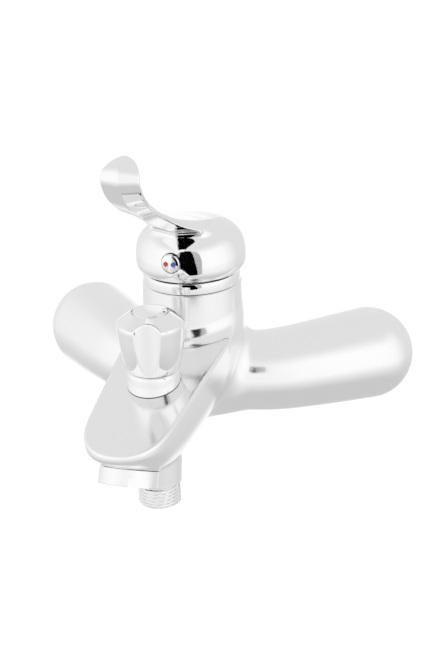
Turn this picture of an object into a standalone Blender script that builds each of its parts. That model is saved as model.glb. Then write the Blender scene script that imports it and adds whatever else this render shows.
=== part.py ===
"""Wall mounted single lever bath and shower mixer, modelled piece by piece.

Origin: midway between the two inlets, on the plane of the union nuts' rear faces.
+X runs to the right seen from the front, +Y points into the wall, +Z points up.
"""
import math

import bmesh
import bpy
from mathutils import Matrix, Vector

MM = 0.001
GAP = 0.3 * MM                      # space kept between neighbouring pieces

# Driving dimensions: where the main axes stand
INLET_CENTRES = 150.0 * MM          # distance between the hot and cold inlets
COLUMN_Y = -60.5 * MM               # column axis in front of the inlet plane
SEAM_Z = 50.7 * MM                  # top of the casting above the inlets
SEAM = Vector((0.0, COLUMN_Y, SEAM_Z))

# Column and arms, measured from the seam centre on the column axis
COLUMN_TOP_R = 24.7 * MM
COLUMN_FOOT_R = 25.4 * MM
ARM_Z = -50.7 * MM
ARM_ROOT_R = 19.8 * MM
LOBE_Y = 48.5 * MM                  # centre of the rounded arm end, behind the column
LOBE_R = 23.6 * MM
LOBE_REAR_Y = 56.0 * MM             # flat face at the back of the arm end

# Spout: a flat plate that slopes forward, over a rounded belly
PLATE_SLOPE = 0.267                 # drop per unit of length
PLATE_REF_Y = -56.2 * MM
PLATE_REF_Z = -32.3 * MM
SPOUT_TIP_Y = -112.5 * MM

# Diverter, shower outlet and aerator
DIVERTER_Y = -56.2 * MM
BOSS_BOTTOM_Z = -84.6 * MM
AERATOR_TILT = math.radians(24.0)
AERATOR_RIM_Y = -95.2 * MM
AERATOR_RIM_Z = -70.0 * MM
AERATOR_RING_H = 8.2 * MM
AERATOR_RING_R = 14.3 * MM

# Handle
DOME_R = 27.6 * MM
DOME_MIDDLE_Z = 13.0 * MM
DOME_TOP_Z = 32.4 * MM
RIM_Z = 7.3 * MM
PIVOT_Z = 2.0 * MM                  # lever pivot above the seam
LEVER_HALF_WIDTH = 9.9 * MM
LEVER_ROOT_HALF_WIDTH = 8.6 * MM

# Union nuts, G 3/4
NUT_REAR_Y = -COLUMN_Y              # seam frame; lies on the inlet plane
NUT_FLATS_R = 15.0 * MM
NUT_CORNER_R = NUT_FLATS_R / math.cos(math.pi / 6)

CARTRIDGE_PORTS = ((-8, 5), (8, 5), (0, -9))    # hot, cold and mixed water, in millimetres

FINE = 32
MEDIUM = 20
COARSE = 14


# Scene, materials and shared shapes

def clear_scene():
    """Remove every object that the new file brought along."""
    for item in list(bpy.data.objects):
        bpy.data.objects.remove(item, do_unlink=True)


def make_material(name, colour, roughness, metallic):
    """Return a Principled material."""
    material = bpy.data.materials.new(name)
    material.use_nodes = True
    shader = material.node_tree.nodes["Principled BSDF"]
    shader.inputs["Base Color"].default_value = (*colour, 1.0)
    shader.inputs["Roughness"].default_value = roughness
    shader.inputs["Metallic"].default_value = metallic
    return material


def make_materials():
    """Return the object's materials by name."""
    return {
        "chrome": make_material("chrome", (0.86, 0.87, 0.88), 0.05, 1.0),
        "brass": make_material("brass", (0.78, 0.60, 0.30), 0.30, 1.0),
        "steel": make_material("steel", (0.62, 0.63, 0.65), 0.28, 1.0),
        "ceramic": make_material("ceramic", (0.90, 0.89, 0.86), 0.25, 0.0),
        "white_plastic": make_material("white_plastic", (0.85, 0.85, 0.83), 0.45, 0.0),
        "grey_plastic": make_material("grey_plastic", (0.22, 0.23, 0.25), 0.50, 0.0),
        "rubber": make_material("rubber", (0.02, 0.02, 0.02), 0.75, 0.0),
        "red": make_material("red", (0.70, 0.05, 0.03), 0.30, 0.0),
        "blue": make_material("blue", (0.03, 0.12, 0.60), 0.30, 0.0),
    }


def add_object(name, shape, material, location=(0, 0, 0), turn=(0, 0, 0)):
    """Turn a bmesh into an object of the scene and return it."""
    bmesh.ops.remove_doubles(shape, verts=shape.verts, dist=0.000002)
    bmesh.ops.recalc_face_normals(shape, faces=shape.faces)
    mesh = bpy.data.meshes.new(name)
    shape.to_mesh(mesh)
    shape.free()
    mesh.shade_smooth()
    mesh.set_sharp_from_angle(angle=math.radians(32))
    mesh.materials.append(material)
    item = bpy.data.objects.new(name, mesh)
    item.location = location
    item.rotation_euler = turn
    bpy.context.collection.objects.link(item)
    return item


def spin_outline(outline, steps):
    """Turn an outline of (radius, height) points about the local Z axis."""
    shape = bmesh.new()
    points = [shape.verts.new((radius, 0.0, height)) for radius, height in outline]
    pairs = list(zip(points, points[1:]))
    touches_axis = outline[0][0] == 0.0 and outline[-1][0] == 0.0
    if not touches_axis:
        pairs.append((points[-1], points[0]))
    edges = [shape.edges.new(pair) for pair in pairs]
    bmesh.ops.spin(shape, geom=points + edges, axis=(0, 0, 1), cent=(0, 0, 0), dvec=(0, 0, 0),
                   angle=math.tau, steps=steps, use_merge=True)
    return shape


def turned(name, outline, material, location=(0, 0, 0), turn=(0, 0, 0), steps=COARSE):
    """Make a turned piece from its outline."""
    return add_object(name, spin_outline(outline, steps), material, location, turn)


def loft(rings):
    """Skin a run of equal closed rings of points, and cap both ends."""
    shape = bmesh.new()
    first = [shape.verts.new(point) for point in rings[0]]
    start = shape.faces.new(first)
    edges = list(start.edges)
    for ring in rings[1:]:
        made = bmesh.ops.extrude_edge_only(shape, edges=edges)["geom"]
        fresh = [part for part in made if isinstance(part, bmesh.types.BMVert)]
        edges = [part for part in made if isinstance(part, bmesh.types.BMEdge)
                 and all(end in fresh for end in part.verts)]
        before = {link.other_vert(vert): vert for vert in fresh for link in vert.link_edges
                  if link.other_vert(vert) not in fresh}
        first = [before[vert] for vert in first]
        for vert, point in zip(first, ring):
            vert.co = point
    shape.faces.new(first)
    return shape


def tube_rings(route, radii, sides):
    """Rings of a round tube along a route, square to it."""
    rings = []
    for index, point in enumerate(route):
        ahead = route[min(index + 1, len(route) - 1)]
        behind = route[max(index - 1, 0)]
        along = (ahead - behind).normalized()
        across = along.cross(Vector((0, 0, 1))).normalized()
        upward = across.cross(along)
        ring = []
        for step in range(sides):
            angle = math.tau * step / sides
            ring.append(point + radii[index] * (math.cos(angle) * across + math.sin(angle) * upward))
        rings.append(ring)
    return rings


def smooth_curve(points, per_span):
    """Catmull-Rom curve through the points, with per_span steps in each span."""
    ends = [points[0] * 2 - points[1], *points, points[-1] * 2 - points[-2]]
    curve = []
    for index in range(1, len(ends) - 2):
        before, start, end, after = ends[index - 1:index + 3]
        for step in range(per_span):
            part = step / per_span
            curve.append(0.5 * (2 * start + (end - before) * part
                                + (2 * before - 5 * start + 4 * end - after) * part ** 2
                                + (3 * start - before - 3 * end + after) * part ** 3))
    curve.append(points[-1])
    return curve


def cylinder(radius, start, end, sides=MEDIUM):
    """A plain rod between two points, as a bmesh."""
    along = end - start
    turn = along.to_track_quat("Z", "Y").to_matrix().to_4x4()
    shape = bmesh.new()
    bmesh.ops.create_cone(shape, cap_ends=True, segments=sides, radius1=radius, radius2=radius,
                          depth=along.length, matrix=Matrix.Translation((start + end) / 2) @ turn)
    return shape


def block(low, high):
    """A box between two corners, as a bmesh."""
    centre = (low + high) / 2
    size = high - low
    shape = bmesh.new()
    bmesh.ops.create_cube(shape, size=1.0, matrix=Matrix.Translation(centre) @ Matrix.Diagonal((*size, 1.0)))
    return shape


def combine(target, shapes, operation):
    """Join shapes to an object, or cut them away, in one Boolean modifier."""
    tools = bpy.data.collections.new(f"{target.name}.{operation.lower()}")
    bpy.context.scene.collection.children.link(tools)
    for shape in shapes:
        tool = add_object(tools.name, shape, target.data.materials[0], target.location, target.rotation_euler)
        tool.hide_render = True
        tool.display_type = "WIRE"
        bpy.context.collection.objects.unlink(tool)
        tools.objects.link(tool)
    change = target.modifiers.new(tools.name, "BOOLEAN")
    change.operand_type = "COLLECTION"
    change.collection = tools
    change.operation = operation
    change.solver = "EXACT"


def hole_circle(count, circle_r, hole_r, low, high):
    """Rods on a circle that cut a ring of equal holes; sizes in millimetres."""
    rods = []
    for step in range(count):
        angle = math.tau * step / count
        x, y = circle_r * math.cos(angle), circle_r * math.sin(angle)
        rods.append(cylinder(hole_r * MM, seam_point(x, y, low), seam_point(x, y, high), 10))
    return rods


def axis_empty(name, location):
    """An empty that marks a joint's axis."""
    empty = bpy.data.objects.new(name, None)
    empty.location = location
    empty.empty_display_size = 0.02
    bpy.context.collection.objects.link(empty)
    return empty


def hang_on(empty, items):
    """Parent pieces to a joint's empty without moving them."""
    bpy.context.view_layer.update()
    for item in items:
        item.parent = empty
        item.matrix_parent_inverse = empty.matrix_world.inverted()


# Body casting, in the seam frame

def plate_height(y):
    """Height of the spout's flat top at depth y."""
    return PLATE_REF_Z + PLATE_SLOPE * (y - PLATE_REF_Y)


def spout_half_width(y):
    """Half width of the spout's top: a slow taper that ends in a rounded tip."""
    width = 26.6 * MM - 0.07 * (-y - 20 * MM)
    past_shoulder = (-y - 80 * MM) / (-SPOUT_TIP_Y - 80 * MM)
    if past_shoulder > 0:
        width *= max(1 - past_shoulder ** 3.2, 0.0) ** (1 / 2.2)
    return width


def spout_depth(y):
    """Depth of the belly under the plate: thin at the tip, deep at the diverter."""
    behind_tip = y - SPOUT_TIP_Y
    steep = 1.5 * MM + 1.05 * behind_tip
    full = 39.0 * MM
    return full * (1 - math.exp(-steep / full * (1 + 0.55 * steep / full)))


def spout_ring(y, width, per_side=7):
    """One section of the spout: a flat top with a rounded belly."""
    top = plate_height(y)
    depth = spout_depth(y)
    edge = min(1.2 * MM, 0.3 * width)
    half = [(width - edge, top), (width, top - edge)]
    shoulder = top - 2.6 * MM
    for step in range(per_side):
        angle = math.pi / 2 * step / per_side
        side = width * math.cos(angle) ** (2 / 2.3)
        drop = (depth - 2.6 * MM) * math.sin(angle) ** (2 / 2.3)
        half.append((side, shoulder - drop))
    right = [Vector((side, y, height)) for side, height in half]
    left = [Vector((-point.x, point.y, point.z)) for point in reversed(right)]
    return right + [Vector((0, y, top - depth))] + left


def spout_shape():
    """The spout, from inside the column to its tip."""
    rings = []
    for y in (6, -6, -16, -26, -38, -50, -62, -73, -82, -90, -97, -102.5, -106.5, -109.5, -111.4, -112.3):
        inside_column = max(y + 22, 0) / 28
        rings.append(spout_ring(y * MM, spout_half_width(y * MM) * (1 - 0.34 * inside_column ** 1.5)))
    return loft(rings)


def arm_route():
    """Centre line of the right arm, from the column to the rounded end."""
    points = [(-4, 9), (14, 9.5), (27, 11.5), (39, 17), (50, 25.5), (60, 34.5)]
    route = [Vector((x * MM, y * MM, ARM_Z)) for x, y in points]
    return smooth_curve(route + [Vector((INLET_CENTRES / 2, LOBE_Y, ARM_Z))], 2)


def arm_shape(side):
    """One swept back arm: a tube that widens to a ball shaped end."""
    route = arm_route()
    count = len(route) - 1
    radii = [ARM_ROOT_R + (LOBE_R - ARM_ROOT_R) * (index / count) ** 1.6 for index in range(count + 1)]
    centre = route[-1]
    along = (centre - route[-2]).normalized()
    for angle in (math.radians(degrees) for degrees in (22, 42, 58, 70, 80, 87)):
        route.append(centre + along * LOBE_R * math.sin(angle))
        radii.append(LOBE_R * math.cos(angle))
    route = [Vector((point.x * side, point.y, point.z)) for point in route]
    return loft(tube_rings(route, radii, MEDIUM))


def water_way(side):
    """Water passage inside an arm: narrow at the inlet and at the cartridge port, wide between."""
    points = [(75, 37.5, 6.3), (67, 37, 6.3), (60, 34, 11), (51, 27, 15), (40, 18.5, 15), (28, 12.5, 14),
              (18, 10.5, 9), (9, 9, 5.5)]
    route = [Vector((x * side * MM, y * MM, ARM_Z)) for x, y, _ in points]
    return loft(tube_rings(route, [radius * MM for _, _, radius in points], 14))


def seam_point(x, y, z):
    """A point of the seam frame given in millimetres."""
    return Vector((x, y, z)) * MM


def aerator_point(height):
    """A point on the tilted aerator axis, by its height above the rim."""
    return Vector((0, AERATOR_RIM_Y + height * math.sin(AERATOR_TILT),
                   AERATOR_RIM_Z + height * math.cos(AERATOR_TILT)))


def casting_bores(side):
    """Socket, tailpiece bore, water way and cartridge port of one inlet."""
    inlet_x = side * INLET_CENTRES / 2
    rear = Vector((inlet_x, 80 * MM, ARM_Z))
    low = Vector((inlet_x - 30 * MM, LOBE_REAR_Y, ARM_Z - 30 * MM))
    high = Vector((inlet_x + 30 * MM, 90 * MM, ARM_Z + 30 * MM))
    return [
        block(low, high),
        cylinder(18.2 * MM, Vector((inlet_x, 43 * MM, ARM_Z)), rear),
        cylinder(10.4 * MM, Vector((inlet_x, 32.6 * MM, ARM_Z)), rear),
        water_way(side),
        cylinder(3.2 * MM, seam_point(side * 8, 5, -22), seam_point(side * 8, 5, -50), 12),
    ]


def body_casting(mats):
    """Column, arms, spout and bosses in one casting, bored from its openings."""
    column = spin_outline([(0, 0), (COLUMN_TOP_R - 0.4 * MM, 0), (COLUMN_TOP_R, -0.5 * MM),
                           (COLUMN_FOOT_R, -40 * MM), (24.4 * MM, -58 * MM), (20 * MM, -68.5 * MM),
                           (10 * MM, -72.5 * MM), (0, -73 * MM)], FINE)
    casting = add_object("body_casting", column, mats["chrome"], SEAM)
    boss = spin_outline([(0, -45 * MM), (12.6 * MM, -45 * MM), (12.4 * MM, -68 * MM),
                         (11.4 * MM, -83 * MM), (10.8 * MM, BOSS_BOTTOM_Z), (0, BOSS_BOTTOM_Z)], MEDIUM)
    bmesh.ops.translate(boss, vec=(0, DIVERTER_Y, 0), verts=boss.verts)
    aerator_boss = cylinder(13.6 * MM, aerator_point(AERATOR_RING_H + GAP), aerator_point(21 * MM))
    combine(casting, [arm_shape(-1), arm_shape(1), spout_shape(), boss, aerator_boss], "UNION")
    diverter = Vector((0, DIVERTER_Y, 0))
    combine(casting, [
        *casting_bores(-1),
        *casting_bores(1),
        cylinder(17.6 * MM, seam_point(0, 0, -24.6), seam_point(0, 0, 5), FINE),
        cylinder(20.3 * MM, seam_point(0, 0, -8), seam_point(0, 0, 6), FINE),
        cylinder(3.6 * MM, seam_point(0, -9, -22), seam_point(0, -9, -50), 12),
        cylinder(4.6 * MM, seam_point(0, -8, -51), seam_point(0, -56, -55), 12),
        cylinder(10.0 * MM, seam_point(0, -15, -51), seam_point(0, -45, -52), 16),
        cylinder(7.5 * MM, seam_point(0, -67, -51), seam_point(0, -88, -52), 16),
        cylinder(9.4 * MM, diverter + seam_point(0, 0, -62), diverter + seam_point(0, 0, -20)),
        cylinder(4.5 * MM, diverter + seam_point(0, 0, -74), diverter + seam_point(0, 0, -60), 16),
        cylinder(8.4 * MM, diverter + seam_point(0, 0, -90), diverter + seam_point(0, 0, -72)),
        cylinder(4.2 * MM, seam_point(0, -57, -54), aerator_point(16 * MM), 12),
        cylinder(12.1 * MM, aerator_point(5 * MM), aerator_point(15 * MM)),
        cylinder(15.0 * MM, aerator_point(-12 * MM), aerator_point(AERATOR_RING_H + GAP)),
    ], "DIFFERENCE")


# Mixing cartridge and its fixings, in the seam frame

def cartridge_fixed_parts(mats):
    """Cartridge pieces that stay still, with the nut and collar that hold it."""
    housing = [(17.3, -17.4), (17.3, -6), (14.3, -6), (14.3, 5), (11.7, 5), (11.7, 3.6), (13.0, 3.6),
               (13.0, -6.6), (15.4, -8.2), (15.4, -17.4)]
    nut = [(20.0, -7.6), (20.0, -0.6), (17.6, -0.6), (17.6, 4.0), (14.6, 4.0), (14.6, -5.7), (17.6, -5.7),
           (17.6, -7.6)]
    collar = [(24.3, 0.3), (24.3, 4.6), (23.8, 5.9), (22.6, 6.5), (18.0, 7.0), (15.0, 7.1), (15.0, 5.1),
              (19.0, 4.8), (20.6, 4.0), (20.6, 0.3)]
    base = [(17.2, -23.4), (17.2, -17.7), (6.0, -17.7), (6.0, -18.6), (2.4, -18.6), (2.4, -23.4)]
    turned("cartridge_housing", scaled(housing), mats["white_plastic"], SEAM, steps=FINE)
    nut = turned("cartridge_nut", scaled(nut), mats["brass"], SEAM, steps=FINE)
    turned("cartridge_collar", scaled(collar), mats["chrome"], SEAM, steps=FINE)
    base = turned("cartridge_base", scaled(base), mats["white_plastic"], SEAM, steps=FINE)
    disc = turned("fixed_ceramic_disc", scaled([(13.0, -17.4), (13.0, -14.4), (2.6, -14.4), (2.6, -17.4)]),
                  mats["ceramic"], SEAM)
    base_ports = []
    disc_ports = []
    for x, y in CARTRIDGE_PORTS:
        base_ports.append(cylinder(2.6 * MM, seam_point(x, y, -25), seam_point(x, y, -16), 12))
        disc_ports.append(cylinder(2.2 * MM, seam_point(x, y, -19), seam_point(x, y, -13), 12))
    combine(base, base_ports, "DIFFERENCE")
    combine(disc, disc_ports, "DIFFERENCE")
    combine(nut, nut_notches(), "DIFFERENCE")


def nut_notches():
    """Spanner notches in the top of the cartridge nut."""
    notches = []
    for step in range(6):
        notch = block(seam_point(15.9, -1.8, 1.6), seam_point(18.5, 1.8, 5))
        bmesh.ops.rotate(notch, cent=(0, 0, 0), matrix=Matrix.Rotation(math.tau * step / 6, 3, "Z"),
                         verts=notch.verts)
        notches.append(notch)
    return notches


def scaled(outline):
    """An outline given in millimetres, in metres."""
    return [(radius * MM, height * MM) for radius, height in outline]


def cartridge_swivel_parts(mats):
    """Stem guide and pivot pin, which swivel with the lever."""
    guide = turned("stem_guide", scaled([(0, -5.8), (12.6, -5.8), (12.6, 3.2), (11.3, 3.2), (11.3, 5.6),
                                         (0, 5.6)]), mats["grey_plastic"], SEAM, steps=MEDIUM)
    combine(guide, [block(seam_point(-4.4, -6.6, -7), seam_point(4.4, 6.6, 7)), pin_hole()], "DIFFERENCE")
    pin = add_object("stem_pivot_pin", cylinder(1.2 * MM, seam_point(-8.6, 0, 2), seam_point(8.6, 0, 2), 12),
                     mats["steel"], SEAM)
    return [guide, pin]


def pin_hole():
    """Hole for the pivot pin."""
    return cylinder(1.5 * MM, seam_point(-9, 0, 2), seam_point(9, 0, 2), 12)


def disc_parts(mats):
    """Upper ceramic disc and its carrier, which slide to open the water."""
    carrier = turned("disc_carrier", scaled([(0, -11.1), (9.8, -11.1), (9.8, -7.6), (0, -7.6)]),
                     mats["grey_plastic"], SEAM, steps=MEDIUM)
    combine(carrier, [block(seam_point(-4.4, -3.2, -9.4), seam_point(4.4, 3.2, -5))], "DIFFERENCE")
    disc = turned("moving_ceramic_disc", scaled([(0, -14.1), (9.8, -14.1), (9.8, -11.4), (0, -11.4)]),
                  mats["ceramic"], SEAM, steps=MEDIUM)
    combine(disc, [block(seam_point(-5.5, -5.6, -15), seam_point(5.5, 4.0, -13))], "DIFFERENCE")
    return [carrier, disc]


def lever_stem(mats):
    """Square stem that the handle sits on, with a ball end in the disc carrier."""
    stem = add_object("lever_stem", block(seam_point(-3.9, -3.9, -3.6), seam_point(3.9, 3.9, 25.6)),
                      mats["steel"], SEAM)
    combine(stem, [cylinder(2.6 * MM, seam_point(0, 0, -8.6), seam_point(0, 0, 0), 16)], "UNION")
    combine(stem, [pin_hole()], "DIFFERENCE")
    return stem


def cartridge_seals(mats):
    """Port seals under the cartridge base."""
    for name, (x, y) in zip(("hot_port_seal", "cold_port_seal", "mixed_port_seal"), CARTRIDGE_PORTS):
        outline = scaled([(4.4, -24.3), (4.4, -23.7), (3.4, -23.7), (3.4, -24.3)])
        turned(name, outline, mats["rubber"], SEAM + seam_point(x, y, 0))


# Handle, in the seam frame

def dome_outline():
    """Outer outline of the handle's dome, from the top down to its rounded rim."""
    rise = DOME_TOP_Z - DOME_MIDDLE_Z
    outline = []
    for step in range(10):
        angle = math.pi / 2 * (1 - step / 9)
        outline.append((DOME_R * max(math.cos(angle), 0) ** (2 / 2.7),
                        DOME_MIDDLE_Z + rise * math.sin(angle) ** (2 / 2.7)))
    outline[0] = (0.0, DOME_TOP_Z)
    return outline + scaled([(27.3, 10.2), (26.6, 8.6), (26.0, 7.7), (25.6, RIM_Z / MM)])


def dome_hollow():
    """Space inside the dome, with the hub left standing.

    The skirt clears the collar and column, so its rear edge can drop past them as the lever tilts up.
    """
    return spin_outline(scaled([(0, 2), (25.1, 2), (25.1, 12), (24.8, 18), (22.0, 24.5), (17, 28), (8.4, 29),
                                (8.4, 12.5), (0, 12.5)]), FINE)


def lever_curve():
    """Front ridge of the lever, seen from the side, from the dome to the tip."""
    points = [(-12, 27.5), (-28.4, 35.0), (-46.8, 44.2), (-65.7, 54.8), (-79.1, 65.0), (-85.9, 75.5),
              (-84.2, 83.4), (-76.0, 88.2)]
    return smooth_curve([seam_point(0, y, z) for y, z in points], 3)


def lever_ring(point, inward, width, thickness):
    """One section of the lever strap: a low ridge in front, a hollow behind."""
    ridge = 0.16 * width
    half = [(0.0, 0.0), (0.5, 0.45 * ridge), (0.93, ridge), (1.0, ridge + 0.16 * thickness),
            (0.93, ridge + 0.34 * thickness), (0.5, 0.72 * thickness), (0.0, 0.78 * thickness)]
    right = [point + Vector((share * width, 0, 0)) + inward * depth for share, depth in half]
    left = [point - Vector((share * width, 0, 0)) + inward * depth for share, depth in reversed(half[1:-1])]
    return right + left


def lever_strap():
    """Lever that rises from the dome and curls up and back to a rounded end."""
    curve = lever_curve()
    count = len(curve) - 1
    rings = []
    for index, point in enumerate(curve):
        along = curve[min(index + 1, count)] - curve[max(index - 1, 0)]
        inward = Vector((0, -along.z, along.y)).normalized() * -1
        share = index / count
        past = max((share - 0.72) / 0.28, 0.0)
        spread = (LEVER_HALF_WIDTH - LEVER_ROOT_HALF_WIDTH) * min(share / 0.7, 1.0)
        width = (LEVER_ROOT_HALF_WIDTH + spread) * math.sqrt(max(1 - past ** 2.4, 0.02))
        thickness = (11.0 - 6.0 * min(share / 0.6, 1.0)) * MM * (1 - 0.4 * past)
        rings.append(lever_ring(point, inward, width, thickness))
    return loft(rings)


def lever_handle(mats):
    """Dome and lever in one casting, hollow under the dome, with a hub for the stem."""
    chrome = mats["chrome"]
    outer = dome_outline()
    handle = add_object("lever_handle", spin_outline(outer + [(0, RIM_Z)], FINE), chrome, SEAM)
    combine(handle, [lever_strap()], "UNION")
    combine(handle, [
        dome_hollow(),
        block(seam_point(-4.25, -4.25, 8), seam_point(4.25, 4.25, 26.0)),
        cylinder(2.9 * MM, seam_point(0, -2, 17.8), seam_point(0, -40, 17.8), 16),
        cylinder(5.1 * MM, seam_point(0, -25.2, 17.8), seam_point(0, -40, 17.8), 24),
    ], "DIFFERENCE")
    return handle


def handle_trim(mats):
    """Grub screw, indicator plug and its two colour dots."""
    to_front = (math.pi / 2, 0, 0)
    at_screw = SEAM + seam_point(0, 0, 17.8)
    screw = turned("handle_grub_screw", scaled([(0, 4.6), (2.5, 4.6), (2.5, 11.6), (1.4, 11.6), (1.4, 9.8),
                                                (0, 9.8)]), mats["steel"], at_screw, to_front)
    plug = turned("indicator_plug", scaled([(0, 22.5), (2.5, 22.5), (2.5, 26.0), (4.7, 26.0), (4.7, 27.9),
                                            (4.1, 28.5), (0, 29.0)]), mats["chrome"], at_screw, to_front,
                  steps=MEDIUM)
    dots = []
    sockets = [cylinder(1.35 * MM, seam_point(x, 0, 28.1), seam_point(x, 0, 31), 16) for x in (-2.0, 2.0)]
    combine(plug, sockets, "DIFFERENCE")
    for name, x, colour in (("hot_dot", -2.0, "red"), ("cold_dot", 2.0, "blue")):
        dots.append(turned(name, scaled([(0, 28.3), (1.05, 28.3), (1.05, 29.0), (0.8, 29.2), (0, 29.25)]),
                           mats[colour], at_screw + seam_point(x, 0, 0), to_front, steps=16))
    return [screw, plug, *dots]


# Diverter, in a frame on its own axis at seam height

def knob_ring(height, radius, flute, sides=36):
    """One section of the knob: round, with three hollow flutes."""
    ring = []
    front = math.radians(-76.0)
    for step in range(sides):
        angle = math.tau * step / sides
        wave = 0.5 + 0.5 * math.cos(3 * (angle - front))
        reach = radius - flute * wave ** 1.5
        ring.append(Vector((reach * math.cos(angle), reach * math.sin(angle), height)))
    return ring


def diverter_knob(mats, place):
    """Fluted knob, hollow underneath, with a hub for the spindle."""
    chrome = mats["chrome"]
    levels = [(-25.5, 12.6, 0.3), (-23.5, 13.3, 0.8), (-18.0, 14.6, 1.6), (-12.0, 15.7, 2.6),
              (-6.0, 16.4, 3.6), (-2.2, 16.8, 4.3), (-0.6, 16.3, 4.0), (2.0, 12.4, 1.8), (4.0, 9.4, 0.0)]
    rings = [knob_ring(height * MM, radius * MM, flute * MM) for height, radius, flute in levels]
    knob = add_object("diverter_knob", loft(rings), chrome, place)
    hollow = spin_outline(scaled([(0, -30), (10.2, -30), (10.2, -16), (8.6, -11), (6.6, -11), (6.6, -24),
                                  (3.9, -24), (3.9, -7.6), (2.3, -7.6), (2.3, -1), (4.3, -1), (4.3, 2.2),
                                  (9, 2.2), (9, 6), (0, 6)]), MEDIUM)
    combine(knob, [hollow], "DIFFERENCE")
    return knob


def diverter_moving_parts(mats, place):
    """Everything that turns with the diverter knob."""
    cap_outline = [(0, 2.5), (8.7, 2.5), (8.7, 3.9), (8.3, 4.3), (0, 4.4)]
    screw_outline = [(0, -15.0), (1.5, -15.0), (2.0, -14.4), (2.0, -0.7), (4.0, -0.7), (4.0, 1.2), (3.4, 1.9),
                     (1.2, 1.9), (1.2, 0.6), (0, 0.6)]
    spindle_outline = [(0, -46.9), (6.6, -46.9), (6.6, -44.4), (3.9, -44.4), (3.9, -24.6), (3.6, -24.4),
                       (3.6, -8.0), (2.3, -8.0), (2.3, -16.0), (0, -16.0)]
    disc_outline = [(0, -50.0), (6.6, -50.0), (6.6, -47.2), (0, -47.2)]
    cap = turned("diverter_knob_cap", scaled(cap_outline), mats["chrome"], place, steps=FINE)
    screw = turned("diverter_knob_screw", scaled(screw_outline), mats["steel"], place)
    spindle = turned("diverter_spindle", scaled(spindle_outline), mats["brass"], place)
    disc = turned("diverter_turning_disc", scaled(disc_outline), mats["ceramic"], place)
    combine(disc, [block(seam_point(-8, 1.2, -51), seam_point(8, 8, -46))], "DIFFERENCE")
    return [diverter_knob(mats, place), cap, screw, spindle, disc]


def diverter_fixed_parts(mats, place):
    """Base ring, bonnet, seat disc and seals of the diverter."""
    ring_outline = [(12.7, -26.2), (13.0, -27.4), (13.0, -33.9), (10.2, -33.9), (10.2, -25.8), (12.2, -25.8)]
    bonnet_outline = [(9.0, -57.0), (9.0, -43.5), (7.9, -43.5), (7.9, -40.5), (9.0, -40.5), (9.0, -30.0),
                      (4.3, -30.0), (4.3, -44.1), (7.0, -44.1), (7.0, -57.0)]
    seat_outline = [(6.7, -53.2), (6.7, -50.3), (0, -50.3), (0, -53.2)]
    seal_outline = [(6.7, -56.6), (6.7, -53.5), (5.0, -53.5), (5.0, -56.6)]
    ring_shape = spin_outline(scaled(ring_outline), FINE)
    for vert in ring_shape.verts:
        if vert.co.z < -33 * MM:
            vert.co.z = plate_height(vert.co.y + DIVERTER_Y) + GAP
    add_object("diverter_base_ring", ring_shape, mats["chrome"], place)
    turned("diverter_bonnet", scaled(bonnet_outline), mats["brass"], place, steps=MEDIUM)
    seat = turned("diverter_seat_disc", scaled(seat_outline), mats["ceramic"], place)
    combine(seat, [block(seam_point(-4, 1.6, -55), seam_point(4, 4.6, -48))], "DIFFERENCE")
    turned("diverter_seat_seal", scaled(seal_outline), mats["rubber"], place)
    turned("diverter_o_ring", o_ring_outline(8.72, -42.0, 0.5), mats["rubber"], place, steps=MEDIUM)


def o_ring_outline(middle, height, thickness):
    """Round section of an O ring, given in millimetres."""
    outline = []
    for step in range(6):
        angle = math.tau * step / 6
        outline.append((middle + thickness * math.cos(angle), height + thickness * math.sin(angle)))
    return scaled(outline)


# Shower outlet with its check valve, in the same frame as the diverter

def shower_outlet_parts(mats, place):
    """Threaded nipple, its seal, and the fixed parts of the check valve."""
    top_of_thread = -84.9
    outline = [(6.6, -95.9), (9.4, -95.9), (9.9, -95.4)]
    pitch = 1.814
    for turn_count in range(5):
        low = -94.9 + turn_count * pitch
        outline += [(10.48, low), (10.48, low + 0.5), (9.55, low + 1.05), (9.55, low + 1.3)]
    outline += [(9.9, top_of_thread), (7.9, top_of_thread), (7.9, -73.4), (6.6, -73.4)]
    valve_outline = [(6.3, -93.0), (6.3, -79.0), (3.0, -79.0), (3.0, -81.0), (4.9, -81.0), (4.9, -91.6),
                     (1.4, -91.6), (1.4, -93.0)]
    turned("shower_nipple", scaled(outline), mats["chrome"], place, steps=MEDIUM)
    turned("nipple_o_ring", o_ring_outline(7.25, -72.7, 0.5), mats["rubber"], place)
    valve = turned("check_valve_body", scaled(valve_outline), mats["white_plastic"], place)
    combine(valve, hole_circle(3, 3.1, 1.2, -95, -90.5), "DIFFERENCE")


def check_valve_poppet(mats, place):
    """Poppet that shuts the shower outlet against back flow."""
    outline = [(0, -90.6), (1.0, -90.6), (1.0, -83.4), (4.2, -83.4), (4.2, -82.2), (3.2, -81.3), (0, -81.3)]
    turned("check_valve_poppet", scaled(outline), mats["white_plastic"], place)


def check_valve_spring(mats, place):
    """Coil spring under the poppet's head."""
    turns = 4
    per_turn = 12
    bottom = -91.0
    rise = 7.0
    rings = []
    for index in range(turns * per_turn + 1):
        angle = math.tau * index / per_turn
        height = bottom + rise * index / (turns * per_turn)
        outward = Vector((math.cos(angle), math.sin(angle), 0))
        centre = outward * 2.2 * MM + Vector((0, 0, height * MM))
        rings.append([centre + 0.3 * MM * (math.cos(side) * outward + Vector((0, 0, math.sin(side))))
                      for side in (math.tau * step / 6 for step in range(6))])
    add_object("check_valve_spring", loft(rings), mats["steel"], place)


# Aerator, in a tilted frame at its rim

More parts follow.
